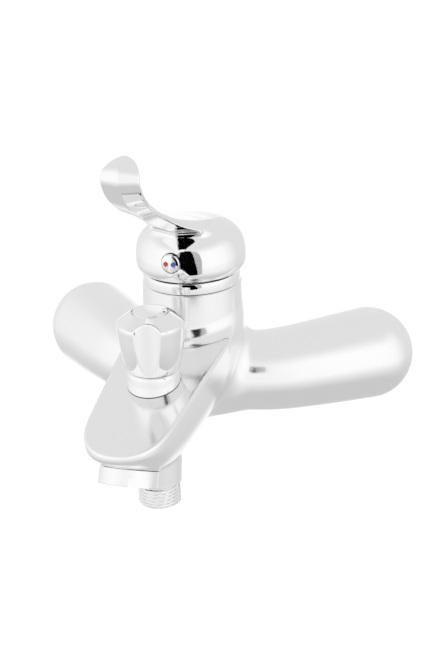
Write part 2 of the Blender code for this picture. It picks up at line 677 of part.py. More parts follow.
def aerator_parts(mats):
    """Housing with spanner flats, flow insert and washer."""
    place = SEAM + aerator_point(0.0)
    turn = (-AERATOR_TILT, 0, 0)
    ring_r = AERATOR_RING_R / MM
    ring_h = AERATOR_RING_H / MM
    housing_outline = [(ring_r - 0.6, 0), (ring_r, 0.5), (ring_r, ring_h), (11.8, ring_h), (11.8, 13.4),
                       (10.4, 13.4), (10.4, 1.4), (9.4, 1.4), (9.4, 0)]
    insert_outline = [(0, 1.8), (10.0, 1.8), (10.0, 8.6), (8.6, 9.6), (0, 9.6)]
    washer_outline = [(10.0, 9.9), (10.0, 12.4), (8.0, 12.4), (8.0, 9.9)]
    housing = turned("aerator_housing", scaled(housing_outline), mats["chrome"], place, turn, steps=FINE)
    flats = []
    for side in (44, 224):
        flat = block(seam_point(12.6, -5.4, -1), seam_point(20, 5.4, 4.6))
        bmesh.ops.rotate(flat, cent=(0, 0, 0), matrix=Matrix.Rotation(math.radians(side - 90), 3, "Z"),
                         verts=flat.verts)
        flats.append(flat)
    combine(housing, flats, "DIFFERENCE")
    insert = turned("aerator_insert", scaled(insert_outline), mats["white_plastic"], place, turn, MEDIUM)
    combine(insert, hole_circle(8, 6.2, 1.6, 0, 12), "DIFFERENCE")
    turned("aerator_washer", scaled(washer_outline), mats["rubber"], place, turn)


# Inlet unions

def union_nut(name, mats, place, turn):
    """Hexagon union nut with an inner lip that pulls on the tailpiece."""
    chamfer_outline = [(0, 0.5), (15.2, 0.5), (15.4, 0), (17.9, -1.5), (17.9, -15.6), (16.2, -17), (0, -17)]
    bore_outline = [(0, -20), (10.5, -20), (10.5, -14.9), (12.3, -14.4), (12.3, 2), (0, 2)]
    hexagon = cylinder(NUT_CORNER_R, seam_point(0, 0, -17), Vector((0, 0, 0)), 6)
    nut = add_object(name, hexagon, mats["chrome"], place, turn)
    combine(nut, [spin_outline(scaled(chamfer_outline), MEDIUM)], "INTERSECT")
    combine(nut, [spin_outline(scaled(bore_outline), MEDIUM)], "DIFFERENCE")
    return nut


def inlet_parts(mats, side, word):
    """One inlet: tailpiece, filter washer and union nut; returns the nut."""
    place = SEAM + Vector((side * INLET_CENTRES / 2, NUT_REAR_Y, ARM_Z))
    turn = (-math.pi / 2, 0, 0)
    nut = union_nut(f"union_nut_{word}", mats, place, turn)
    tail_outline = [(10.1, -27.4), (10.1, -14.2), (11.9, -14.0), (11.9, -11.4), (6.4, -11.4), (6.4, -27.4)]
    washer_outline = [(0, -10.0), (6.6, -10.0), (6.6, -11.1), (11.8, -11.1), (11.8, -9.1), (0, -9.1)]
    turned(f"inlet_tailpiece_{word}", scaled(tail_outline), mats["brass"], place, turn)
    turned(f"filter_washer_{word}", scaled(washer_outline), mats["rubber"], place, turn)
    return nut


def build():
    """Build the whole mixer."""
    clear_scene()
    mats = make_materials()
    body_casting(mats)
    cartridge_fixed_parts(mats)
    cartridge_seals(mats)
    swivel_axis = axis_empty("lever_swivel_axis", SEAM)
    tilt_axis = axis_empty("lever_tilt_axis", SEAM + Vector((0, 0, PIVOT_Z)))
    hang_on(swivel_axis, [tilt_axis, *cartridge_swivel_parts(mats), *disc_parts(mats)])
    hang_on(tilt_axis, [lever_stem(mats), lever_handle(mats), *handle_trim(mats)])

    diverter_place = SEAM + Vector((0, DIVERTER_Y, 0))
    diverter_fixed_parts(mats, diverter_place)
    diverter_axis = axis_empty("diverter_axis", diverter_place)
    hang_on(diverter_axis, diverter_moving_parts(mats, diverter_place))
    shower_outlet_parts(mats, diverter_place)
    check_valve_poppet(mats, diverter_place)
    check_valve_spring(mats, diverter_place)
    aerator_parts(mats)
    for side, word in ((-1, "left"), (1, "right")):
        nut = inlet_parts(mats, side, word)
        hang_on(axis_empty(f"union_nut_axis_{word}", nut.location), [nut])


build()
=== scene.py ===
"""Looks of a wall mounted bath and shower mixer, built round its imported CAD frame.

Lengths inside the classes are millimetres from the seam centre: the middle of the casting's top edge, on
the column's axis. +X runs to the right, +Y into the wall and +Z up. `Place.world` turns them into the
frame's metres.
"""
from __future__ import annotations

import logging
import math
from dataclasses import dataclass, field
from enum import Enum
from typing import Callable

import bmesh
import bpy
import numpy as np
from mathutils import Matrix, Vector

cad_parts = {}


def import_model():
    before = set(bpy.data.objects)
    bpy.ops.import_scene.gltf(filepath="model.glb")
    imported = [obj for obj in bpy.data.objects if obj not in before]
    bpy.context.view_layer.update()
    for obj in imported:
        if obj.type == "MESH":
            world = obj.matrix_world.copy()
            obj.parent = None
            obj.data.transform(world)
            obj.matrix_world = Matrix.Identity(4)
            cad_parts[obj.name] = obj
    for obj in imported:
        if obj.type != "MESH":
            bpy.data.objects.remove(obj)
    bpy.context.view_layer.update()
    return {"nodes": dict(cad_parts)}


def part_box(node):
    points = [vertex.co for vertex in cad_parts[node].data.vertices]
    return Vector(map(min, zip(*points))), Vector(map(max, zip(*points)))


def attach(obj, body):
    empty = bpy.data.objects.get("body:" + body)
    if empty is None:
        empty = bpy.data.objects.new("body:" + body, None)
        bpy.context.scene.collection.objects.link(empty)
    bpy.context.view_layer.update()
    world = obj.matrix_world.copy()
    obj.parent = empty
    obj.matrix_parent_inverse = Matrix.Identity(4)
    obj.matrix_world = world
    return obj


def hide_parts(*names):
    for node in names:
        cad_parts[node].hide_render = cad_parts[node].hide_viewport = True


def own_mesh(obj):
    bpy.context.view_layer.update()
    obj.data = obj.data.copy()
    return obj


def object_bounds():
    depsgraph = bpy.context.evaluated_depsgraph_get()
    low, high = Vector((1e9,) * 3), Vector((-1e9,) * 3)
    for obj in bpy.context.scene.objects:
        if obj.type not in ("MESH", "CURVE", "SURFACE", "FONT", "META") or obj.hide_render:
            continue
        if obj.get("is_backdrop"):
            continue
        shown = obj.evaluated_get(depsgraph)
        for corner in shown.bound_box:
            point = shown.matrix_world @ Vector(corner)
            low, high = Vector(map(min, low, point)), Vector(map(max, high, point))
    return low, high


MM = 0.001
SEAM_GAP = 0.3                      # the collar sits this far above the casting
PIPE_PITCH = 1.814                  # of G 1/2 and G 3/4 threads
CHROME_COLOUR = (0.96, 0.96, 0.965)
TURNED_STRETCH = 6.0                # turned metal's roughness is drawn out along Z
RING_SCALE = 900.0                  # fineness of a lathe tool's marks
CUT_TOLERANCE = 0.0005
WELD = 0.0000005                    # metres
LOG = logging.getLogger("mixer")

Points = np.ndarray
Field = Callable[[Points], np.ndarray]
Outline = list[tuple[float, float]]
Shape = bmesh.types.BMesh
Edge = bmesh.types.BMEdge
Vert = bmesh.types.BMVert
Piece = bpy.types.Object
Tree = bpy.types.NodeTree
Socket = bpy.types.NodeSocket


# ---------------------------------------------------------------- finishes

class Slot(Enum):
    """Material slots of the record."""

    CHROME = "chrome"
    BRASS = "brass"
    STEEL = "steel"
    CERAMIC = "ceramic"
    WHITE_PLASTIC = "white_plastic"
    GREY_PLASTIC = "grey_plastic"
    RUBBER = "rubber"
    RED = "red"
    BLUE = "blue"


def feed(tree: Tree, node: bpy.types.Node, inputs: dict[str | int, object]) -> None:
    """Feed a node's inputs.

    Args:
        tree: Node tree.
        node: The node.
        inputs: Socket to link, or constant, for each input.
    """
    for name, value in inputs.items():
        if isinstance(value, Socket):
            tree.links.new(value, node.inputs[name])
        else:
            node.inputs[name].default_value = value


def add_node(tree: Tree, kind: str, inputs: dict[str | int, object], **settings: object) -> bpy.types.Node:
    """Add a shader node.

    Args:
        tree: Node tree.
        kind: Blender's name of the node, less its first word.
        inputs: Socket to link, or constant, for each input.
        settings: The node's own properties.

    Returns:
        The node.
    """
    node = tree.nodes.new(f"ShaderNode{kind}")
    for name, value in settings.items():
        setattr(node, name, value)
    feed(tree, node, inputs)
    return node


def new_group(name: str, numbers: tuple[str, ...], results: tuple[str, ...]) -> Tree:
    """Start a node group that takes a vector and numbers.

    Args:
        name: Group name.
        numbers: Names of the number inputs.
        results: Names of the number outputs.

    Returns:
        The empty group.
    """
    group = bpy.data.node_groups.new(name, "ShaderNodeTree")
    group.interface.new_socket("Vector", in_out="INPUT", socket_type="NodeSocketVector")
    for socket in numbers:
        group.interface.new_socket(socket, in_out="INPUT", socket_type="NodeSocketFloat")
    for socket in results:
        group.interface.new_socket(socket, in_out="OUTPUT", socket_type="NodeSocketFloat")
    return group


def polish_group() -> Tree:
    """Node group for fine surface character: a roughness that wanders, and a height for a bump.

    Returns:
        The node group, built once and shared by every finish.
    """
    name = "polish"
    if name in bpy.data.node_groups:
        return bpy.data.node_groups[name]
    group = new_group(name, ("Scale", "Stretch", "Smoothest", "Roughest", "Speckle"),
                      ("Roughness", "Height", "Shade"))
    entry = group.nodes.new("NodeGroupInput")
    leave = group.nodes.new("NodeGroupOutput")
    squeeze = add_node(group, "CombineXYZ", {"X": 1.0, "Y": 1.0, "Z": entry.outputs["Stretch"]})
    stretched = add_node(group, "VectorMath", {0: entry.outputs["Vector"], 1: squeeze.outputs[0]},
                         operation="MULTIPLY").outputs[0]
    cloud = add_node(group, "TexNoise", {"Vector": stretched, "Scale": entry.outputs["Scale"], "Detail": 5.0,
                                         "Roughness": 0.55}).outputs["Fac"]
    finer = add_node(group, "Math", {0: entry.outputs["Scale"], 1: 14.0}, operation="MULTIPLY")
    fine = add_node(group, "TexNoise", {"Vector": stretched, "Scale": finer.outputs[0], "Detail": 2.0})
    spread = add_node(group, "MapRange", {"Value": cloud, "From Min": 0.35, "From Max": 0.68,
                                          "To Min": entry.outputs["Smoothest"],
                                          "To Max": entry.outputs["Roughest"]})
    height = add_node(group, "Math", {0: fine.outputs["Fac"], 1: entry.outputs["Speckle"], 2: cloud},
                      operation="MULTIPLY_ADD")
    feed(group, leave, {"Roughness": spread.outputs[0], "Height": height.outputs[0], "Shade": cloud})
    return group


def lathe_group() -> Tree:
    """Node group for the fine marks that a lathe tool leaves along the object's Z axis.

    Returns:
        The node group, with a height output.
    """
    name = "lathe_rings"
    if name in bpy.data.node_groups:
        return bpy.data.node_groups[name]
    group = new_group(name, ("Scale",), ("Height",))
    entry = group.nodes.new("NodeGroupInput")
    leave = group.nodes.new("NodeGroupOutput")
    rings = add_node(group, "TexWave", {"Vector": entry.outputs["Vector"], "Scale": entry.outputs["Scale"],
                                        "Distortion": 0.6, "Detail": 2.0},
                     wave_type="BANDS", bands_direction="Z")
    feed(group, leave, {"Height": rings.outputs["Fac"]})
    return group


@dataclass(frozen=True)
class Finish:
    """One finish: a Principled shader whose roughness and bump come from the shared groups."""

    name: str
    slot: Slot
    colour: tuple[float, float, float]
    metallic: float
    roughness: tuple[float, float]
    turned: bool = False
    grain_scale: float = 60.0
    bump: float = 0.02
    bump_depth: float = 0.00002
    speckle: float = 0.15
    shade: float = 0.06
    coat: float = 0.0

    def material(self) -> bpy.types.Material:
        """Build the material, or return it if it exists.

        Returns:
            The material, with procedural roughness, colour drift and bump.
        """
        if self.name in bpy.data.materials:
            return bpy.data.materials[self.name]
        made = bpy.data.materials.new(self.name)
        made.use_nodes = True
        tree = made.node_tree
        place = add_node(tree, "TexCoord", {}).outputs["Object"]
        polish = add_node(tree, "Group", {
            "Vector": place, "Scale": self.grain_scale, "Stretch": TURNED_STRETCH if self.turned else 1.0,
            "Smoothest": self.roughness[0], "Roughest": self.roughness[1], "Speckle": self.speckle,
        }, node_tree=polish_group())
        darker = [value * (1.0 - self.shade) for value in self.colour]
        tint = add_node(tree, "Mix", {"A": (*darker, 1.0), "B": (*self.colour, 1.0),
                                      "Factor": polish.outputs["Shade"]}, data_type="RGBA")
        height = polish.outputs["Height"]
        if self.turned:
            rings = add_node(tree, "Group", {"Vector": place, "Scale": RING_SCALE}, node_tree=lathe_group())
            height = rings.outputs["Height"]
        bump = add_node(tree, "Bump", {"Strength": self.bump, "Distance": self.bump_depth, "Height": height})
        feed(tree, tree.nodes["Principled BSDF"], {
            "Metallic": self.metallic, "Coat Weight": self.coat, "Roughness": polish.outputs["Roughness"],
            "Base Color": tint.outputs["Result"], "Normal": bump.outputs["Normal"]})
        return made


CHROME = Finish("chrome_plate", Slot.CHROME, CHROME_COLOUR, 1.0, (0.025, 0.06), bump=0.05, shade=0.02)
CHROME_SATIN = Finish("chrome_plate_soft", Slot.CHROME, CHROME_COLOUR, 1.0, (0.13, 0.19), bump=0.04,
                      shade=0.02)
CHROME_TURNED = Finish("chrome_plate_turned", Slot.CHROME, CHROME_COLOUR, 1.0, (0.02, 0.05), bump=0.03,
                       grain_scale=90.0, shade=0.02)
BRASS = Finish("turned_brass", Slot.BRASS, (0.78, 0.58, 0.27), 1.0, (0.18, 0.34), turned=True, bump=0.25)
STEEL = Finish("turned_steel", Slot.STEEL, (0.60, 0.61, 0.63), 1.0, (0.2, 0.36), turned=True, bump=0.25)
CERAMIC = Finish("lapped_ceramic", Slot.CERAMIC, (0.90, 0.89, 0.86), 0.0, (0.16, 0.26), grain_scale=220.0)
WHITE_PLASTIC = Finish("white_acetal", Slot.WHITE_PLASTIC, (0.83, 0.83, 0.80), 0.0, (0.38, 0.52),
                       grain_scale=400.0, bump=0.2)
GREY_PLASTIC = Finish("grey_filled_plastic", Slot.GREY_PLASTIC, (0.20, 0.21, 0.23), 0.0, (0.42, 0.6),
                      grain_scale=500.0, bump=0.3, shade=0.2)
RUBBER = Finish("black_rubber", Slot.RUBBER, (0.022, 0.022, 0.024), 0.0, (0.6, 0.85), grain_scale=600.0,
                bump=0.35, shade=0.3)
RED = Finish("red_enamel", Slot.RED, (0.62, 0.03, 0.02), 0.0, (0.12, 0.22), grain_scale=500.0, coat=0.6)
BLUE = Finish("blue_enamel", Slot.BLUE, (0.02, 0.10, 0.58), 0.0, (0.12, 0.22), grain_scale=500.0, coat=0.6)

CARRIED_OVER = {
    BRASS: ("cartridge_nut", "diverter_bonnet", "diverter_spindle", "inlet_tailpiece_left",
            "inlet_tailpiece_right"),
    STEEL: ("diverter_knob_screw", "handle_grub_screw", "lever_stem", "stem_pivot_pin"),
    CERAMIC: ("diverter_seat_disc", "diverter_turning_disc", "fixed_ceramic_disc", "moving_ceramic_disc"),
    WHITE_PLASTIC: ("cartridge_base", "cartridge_housing", "check_valve_body", "check_valve_poppet"),
    GREY_PLASTIC: ("disc_carrier", "stem_guide"),
    RUBBER: ("aerator_washer", "cold_port_seal", "diverter_o_ring", "diverter_seat_seal", "hot_port_seal",
             "mixed_port_seal", "nipple_o_ring"),
}


# ---------------------------------------------------------------- shaping helpers

@dataclass(frozen=True)
class Place:
    """A local frame: an origin in metres and a turn, for shapes given in millimetres."""

    origin: Vector
    turn: Matrix = field(default_factory=lambda: Matrix.Identity(3))

    def world(self) -> Matrix:
        """Matrix from local millimetres to the frame's metres."""
        return Matrix.Translation(self.origin) @ self.turn.to_4x4() @ Matrix.Diagonal((MM, MM, MM, 1.0))


def moved(shape: Shape, matrix: Matrix) -> Shape:
    """Move a shape by a matrix, and hand it back."""
    bmesh.ops.transform(shape, matrix=matrix, verts=shape.verts)
    return shape


def even_out(shape: Shape, verts: list[Vert] | bmesh.types.BMVertSeq) -> None:
    """Move points half way to the middle of their neighbours."""
    bmesh.ops.smooth_vert(shape, verts=verts, factor=0.5, use_axis_x=True, use_axis_y=True, use_axis_z=True)


def spin(outline: Outline, steps: int = 128) -> Shape:
    """Turn an outline of (radius, height) about the local Z axis.

    Args:
        outline: Corners of the half section, in order; closed unless both ends lie on the axis.
        steps: Segments in the full turn.

    Returns:
        The turned shape.
    """
    shape = bmesh.new()
    corners = [shape.verts.new((radius, 0.0, height)) for radius, height in outline]
    pairs = list(zip(corners, corners[1:]))
    if outline[0][0] > 0.0 or outline[-1][0] > 0.0:
        pairs.append((corners[-1], corners[0]))
    edges = [shape.edges.new(pair) for pair in pairs]
    bmesh.ops.spin(shape, geom=corners + edges, axis=(0, 0, 1), cent=(0, 0, 0), dvec=(0, 0, 0),
                   angle=math.tau, steps=steps, use_merge=True)
    bmesh.ops.remove_doubles(shape, verts=shape.verts, dist=0.001)
    bmesh.ops.recalc_face_normals(shape, faces=shape.faces)
    return shape


def rounded(outline: Outline, radius: float, arc: int = 4) -> Outline:
    """Round every corner of an outline that lies off the axis.

    Args:
        outline: Corners as (radius, height).
        radius: Largest rounding, cut down where a side is short.
        arc: Points in each rounded corner, less one.

    Returns:
        The outline with its corners rounded.
    """
    result: Outline = []
    count = len(outline)
    on_axis = outline[0][0] == 0.0 and outline[-1][0] == 0.0
    for index, corner in enumerate(outline):
        if corner[0] == 0.0 or (on_axis and index in (0, count - 1)):
            result.append(corner)
            continue
        here = Vector(corner)
        before = Vector(outline[index - 1]) - here
        after = Vector(outline[(index + 1) % count]) - here
        reach = min(radius, 0.45 * before.length, 0.45 * after.length)
        start = here + before.normalized() * reach
        end = here + after.normalized() * reach
        for step in range(arc + 1):
            share = step / arc
            point = start * (1 - share) ** 2 + here * 2 * share * (1 - share) + end * share ** 2
            result.append((point.x, point.y))
    return result


def polar_ring(sides: int, height: float, reach: Callable[[float], float]) -> list[Vector]:
    """Ring of points round the Z axis, with a radius for each angle."""
    turns = (math.tau * step / sides for step in range(sides))
    return [Vector((reach(turn) * math.cos(turn), reach(turn) * math.sin(turn), height)) for turn in turns]


def extrude_loop(shape: Shape, edges: list[Edge]) -> tuple[set[Vert], list[Edge]]:
    """Extrude an open loop on the spot.

    Args:
        shape: The shape.
        edges: The loop.

    Returns:
        The new points and the new loop.
    """
    made = bmesh.ops.extrude_edge_only(shape, edges=edges)["geom"]
    fresh = {part for part in made if isinstance(part, Vert)}
    return fresh, [part for part in made if isinstance(part, Edge) and set(part.verts) <= fresh]


def loft(rings: list[list[Vector]]) -> Shape:
    """Skin equal closed rings by extruding the first from one to the next, and cap both ends.

    Args:
        rings: Rings of points, each running the same way round.

    Returns:
        A closed shape.
    """
    shape = bmesh.new()
    ring = bmesh.ops.create_circle(shape, cap_ends=True, segments=len(rings[0]), radius=1.0)["verts"]
    for vert, point in zip(ring, rings[0]):
        vert.co = point
    edges = list(shape.edges)
    for points in rings[1:]:
        fresh, edges = extrude_loop(shape, edges)
        partner = {link.other_vert(vert): vert for vert in fresh for link in vert.link_edges
                   if link.other_vert(vert) not in fresh}
        ring = [partner[vert] for vert in ring]
        for vert, point in zip(ring, points):
            vert.co = point
    shape.faces.new(ring)
    bmesh.ops.recalc_face_normals(shape, faces=shape.faces)
    return shape


def tube(rings: list[list[Vector]]) -> Shape:
    """Skin rings as loft does, and leave both ends open."""
    shape = loft(rings)
    caps = [face for face in shape.faces if len(face.verts) > 4]
    bmesh.ops.delete(shape, geom=caps, context="FACES_ONLY")
    return shape


def extend_rim(shape: Shape, edges: list[Edge], place: Matrix, outline: Outline) -> list[Edge]:
    """Carry an open round edge along an outline.

    Args:
        shape: The shape with the open edge.
        edges: The edge loop, roughly round the local Z axis of place.
        place: Local frame of the outline, in the shape's own units.
        outline: (radius, height) of each new loop in that frame.

    Returns:
        The last loop, still open.
    """
    back = place.inverted()
    for radius, height in outline:
        fresh, edges = extrude_loop(shape, edges)
        for vert in fresh:
            local = back @ vert.co
            flat = Vector((local.x, local.y, 0.0)).normalized() * radius
            vert.co = place @ Vector((flat.x, flat.y, height))
    return edges


def line_rim(shape: Shape, edges: list[Edge], place: Matrix, outline: Outline) -> None:
    """Carry an open round edge inwards as extend_rim does, then close it, to make a bore or a hollow."""
    bmesh.ops.edgeloop_fill(shape, edges=extend_rim(shape, edges, place, outline))


def open_edges(shape: Shape, near: Callable[[Vector], bool]) -> list[Edge]:
    """Edges with one face whose middle passes a test.

    Args:
        shape: The shape to search.
        near: Test of a point.

    Returns:
        The edges found.
    """
    return [edge for edge in shape.edges
            if edge.is_boundary and near((edge.verts[0].co + edge.verts[1].co) / 2)]


def finished(name: str, shape: Shape, place: Matrix, finish: Finish, body: str, node: str,
             sharp: float = 35.0) -> Piece:
    """Make a piece from a shape, dress it and tie it to the frame.

    Args:
        name: Piece name.
        shape: The shape, in the units that place expects.
        place: Matrix to the frame's metres, applied to the mesh.
        finish: The piece's finish.
        body: Body of the frame it rides on.
        node: CAD node that it stands for.
        sharp: Edges that turn by more than this many degrees stay sharp.

    Returns:
        The piece, at the origin, unturned and unscaled.
    """
    moved(shape, place)
    bmesh.ops.remove_doubles(shape, verts=shape.verts, dist=WELD)
    bmesh.ops.recalc_face_normals(shape, faces=shape.faces)
    mesh = bpy.data.meshes.new(name)
    shape.to_mesh(mesh)
    shape.free()
    mesh.shade_smooth()
    mesh.set_sharp_from_angle(angle=math.radians(sharp))
    mesh.materials.append(finish.material())
    piece = bpy.data.objects.new(name, mesh)
    bpy.context.scene.collection.objects.link(piece)
    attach(piece, body)
    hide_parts(node)
    return piece


def cut(shape: Shape, tools: list[Shape], operation: str = "DIFFERENCE") -> Shape:
    """Combine a shape with tools by an exact Boolean.

    Args:
        shape: The shape, which is freed.
        tools: Closed shapes, which are freed.
        operation: Blender's name of the operation.

    Returns:
        The new shape.
    """
    base = scratch_object(shape)
    others = [scratch_object(tool) for tool in tools]
    for other in others:
        change = base.modifiers.new("cut", "BOOLEAN")
        change.object = other
        change.operation = operation
        change.solver = "EXACT"
    result = evaluated(base)
    for item in [base, *others]:
        bpy.data.objects.remove(item)
    return result


def scratch_object(shape: Shape) -> Piece:
    """Put a shape into a temporary object, and free it."""
    mesh = bpy.data.meshes.new("scratch")
    shape.to_mesh(mesh)
    shape.free()
    item = bpy.data.objects.new("scratch", mesh)
    bpy.context.scene.collection.objects.link(item)
    return item


def evaluated(item: Piece) -> Shape:
    """Read an object's mesh after its modifiers."""
    shape = bmesh.new()
    shape.from_object(item, bpy.context.evaluated_depsgraph_get())
    return shape


# ---------------------------------------------------------------- smooth castings from distance fields

def fillet_union(first: np.ndarray, second: np.ndarray, radius: float) -> np.ndarray:
    """Join two distances, with a fillet of the given radius in the corner between them."""
    inner = np.hypot(np.maximum(radius - first, 0.0), np.maximum(radius - second, 0.0))
    return np.maximum(radius, np.minimum(first, second)) - inner


def rounded_overlap(first: np.ndarray, second: np.ndarray, radius: float) -> np.ndarray:
    """Keep what two distances share, with the edge between them rounded to the given radius."""
    outer = np.hypot(np.maximum(radius + first, 0.0), np.maximum(radius + second, 0.0))
    return np.minimum(-radius, np.maximum(first, second)) + outer


def slope(distance: Field, points: Points, step: float = 0.05) -> Points:
    """Gradient of a field by central differences.

    Args:
        distance: The field.
        points: Points in millimetres.
        step: Half the distance between the two samples.

    Returns:
        One gradient for each point.
    """
    columns = []
    for axis in range(3):
        offset = np.zeros(3)
        offset[axis] = step
        columns.append((distance(points + offset) - distance(points - offset)) / (2 * step))
    return np.stack(columns, axis=1)


def as_distance(level: Field, points: Points) -> np.ndarray:
    """Scale a level function near its zero so that it reads as a distance."""
    steepness = np.linalg.norm(slope(level, points), axis=1)
    return level(points) / np.maximum(steepness, 1e-3)


def settle(shape: Shape, distance: Field, rounds: int) -> None:
    """Move a shape's points onto the zero of a field.

    Args:
        shape: The shape, in millimetres.
        distance: The field.
        rounds: Number of steps.
    """
    points = np.array([vert.co for vert in shape.verts])
    start = points.copy()
    for _ in range(rounds):
        gradient = slope(distance, points)
        steepness = np.maximum((gradient ** 2).sum(axis=1), 0.05)
        move = distance(points) / steepness
        points -= np.clip(move, -1.5, 1.5)[:, None] * gradient
    strayed = (np.linalg.norm(points - start, axis=1) > 5.0) | (np.abs(distance(points)) > 0.15)
    points[strayed] = start[strayed]
    for vert, point in zip(shape.verts, points):
        vert.co = point
    lost = [vert for vert, astray in zip(shape.verts, strayed) if astray]
    for _ in range(8):
        even_out(shape, lost)


def cast(seeds: list[Shape], distance: Field, voxel: float, relax: int = 4) -> Shape:
    """Fuse rough closed shapes into one even skin, and settle it on a field.

    Args:
        seeds: Rough shapes that together fill the form, in millimetres; they are freed.
        distance: Field of the true form.
        voxel: Size of the skin's faces.
        relax: Rounds of evening out.

    Returns:
        The skin.
    """
    joined = bmesh.new()
    for seed in seeds:
        mesh = bpy.data.meshes.new("seed")
        seed.to_mesh(mesh)
        seed.free()
        joined.from_mesh(mesh)
        bpy.data.meshes.remove(mesh)
    item = scratch_object(joined)
    remesh = item.modifiers.new("even", "REMESH")
    remesh.mode = "VOXEL"
    remesh.voxel_size = voxel
    skin = evaluated(item)
    bpy.data.objects.remove(item)
    settle(skin, distance, 3)
    for _ in range(relax):
        even_out(skin, skin.verts)
        settle(skin, distance, 1)
    settle(skin, distance, 2)
    return skin


def curve_through(corners: list[tuple[float, ...]], per_span: int) -> Points:
    """Catmull-Rom curve through corners.

    Args:
        corners: Points of two or three numbers.
        per_span: Steps between two corners.

    Returns:
        The points of the curve.
    """
    ends = np.array(corners, float)
    padded = np.vstack([2 * ends[0] - ends[1], ends, 2 * ends[-1] - ends[-2]])
    curve = []
    for index in range(1, len(padded) - 2):
        before, start, end, after = padded[index - 1:index + 3]
        for step in range(per_span):
            share = step / per_span
            curve.append(0.5 * (2 * start + (end - before) * share
                                + (2 * before - 5 * start + 4 * end - after) * share ** 2
                                + (3 * start - before - 3 * end + after) * share ** 3))
    curve.append(ends[-1])
    return np.array(curve)


def nearest_on(curve: Points, points: Points) -> tuple[np.ndarray, np.ndarray, np.ndarray]:
    """Closest place on a polyline.

    Args:
        curve: Points of the polyline.
        points: Points to measure from, with as many coordinates.

    Returns:
        Distance, share of the way along by index, and the index of the closest segment.
    """
    best = np.full(len(points), np.inf)
    along = np.zeros(len(points))
    owner = np.zeros(len(points), int)
    for index, (start, end) in enumerate(zip(curve, curve[1:])):
        run = end - start
        share = np.clip((points - start) @ run / (run @ run), 0.0, 1.0)
        distance = np.linalg.norm(points - start - share[:, None] * run, axis=1)
        closer = distance < best
        best[closer] = distance[closer]
        along[closer] = index + share[closer]
        owner[closer] = index
    return best, along, owner


# ---------------------------------------------------------------- the mixer's own pieces

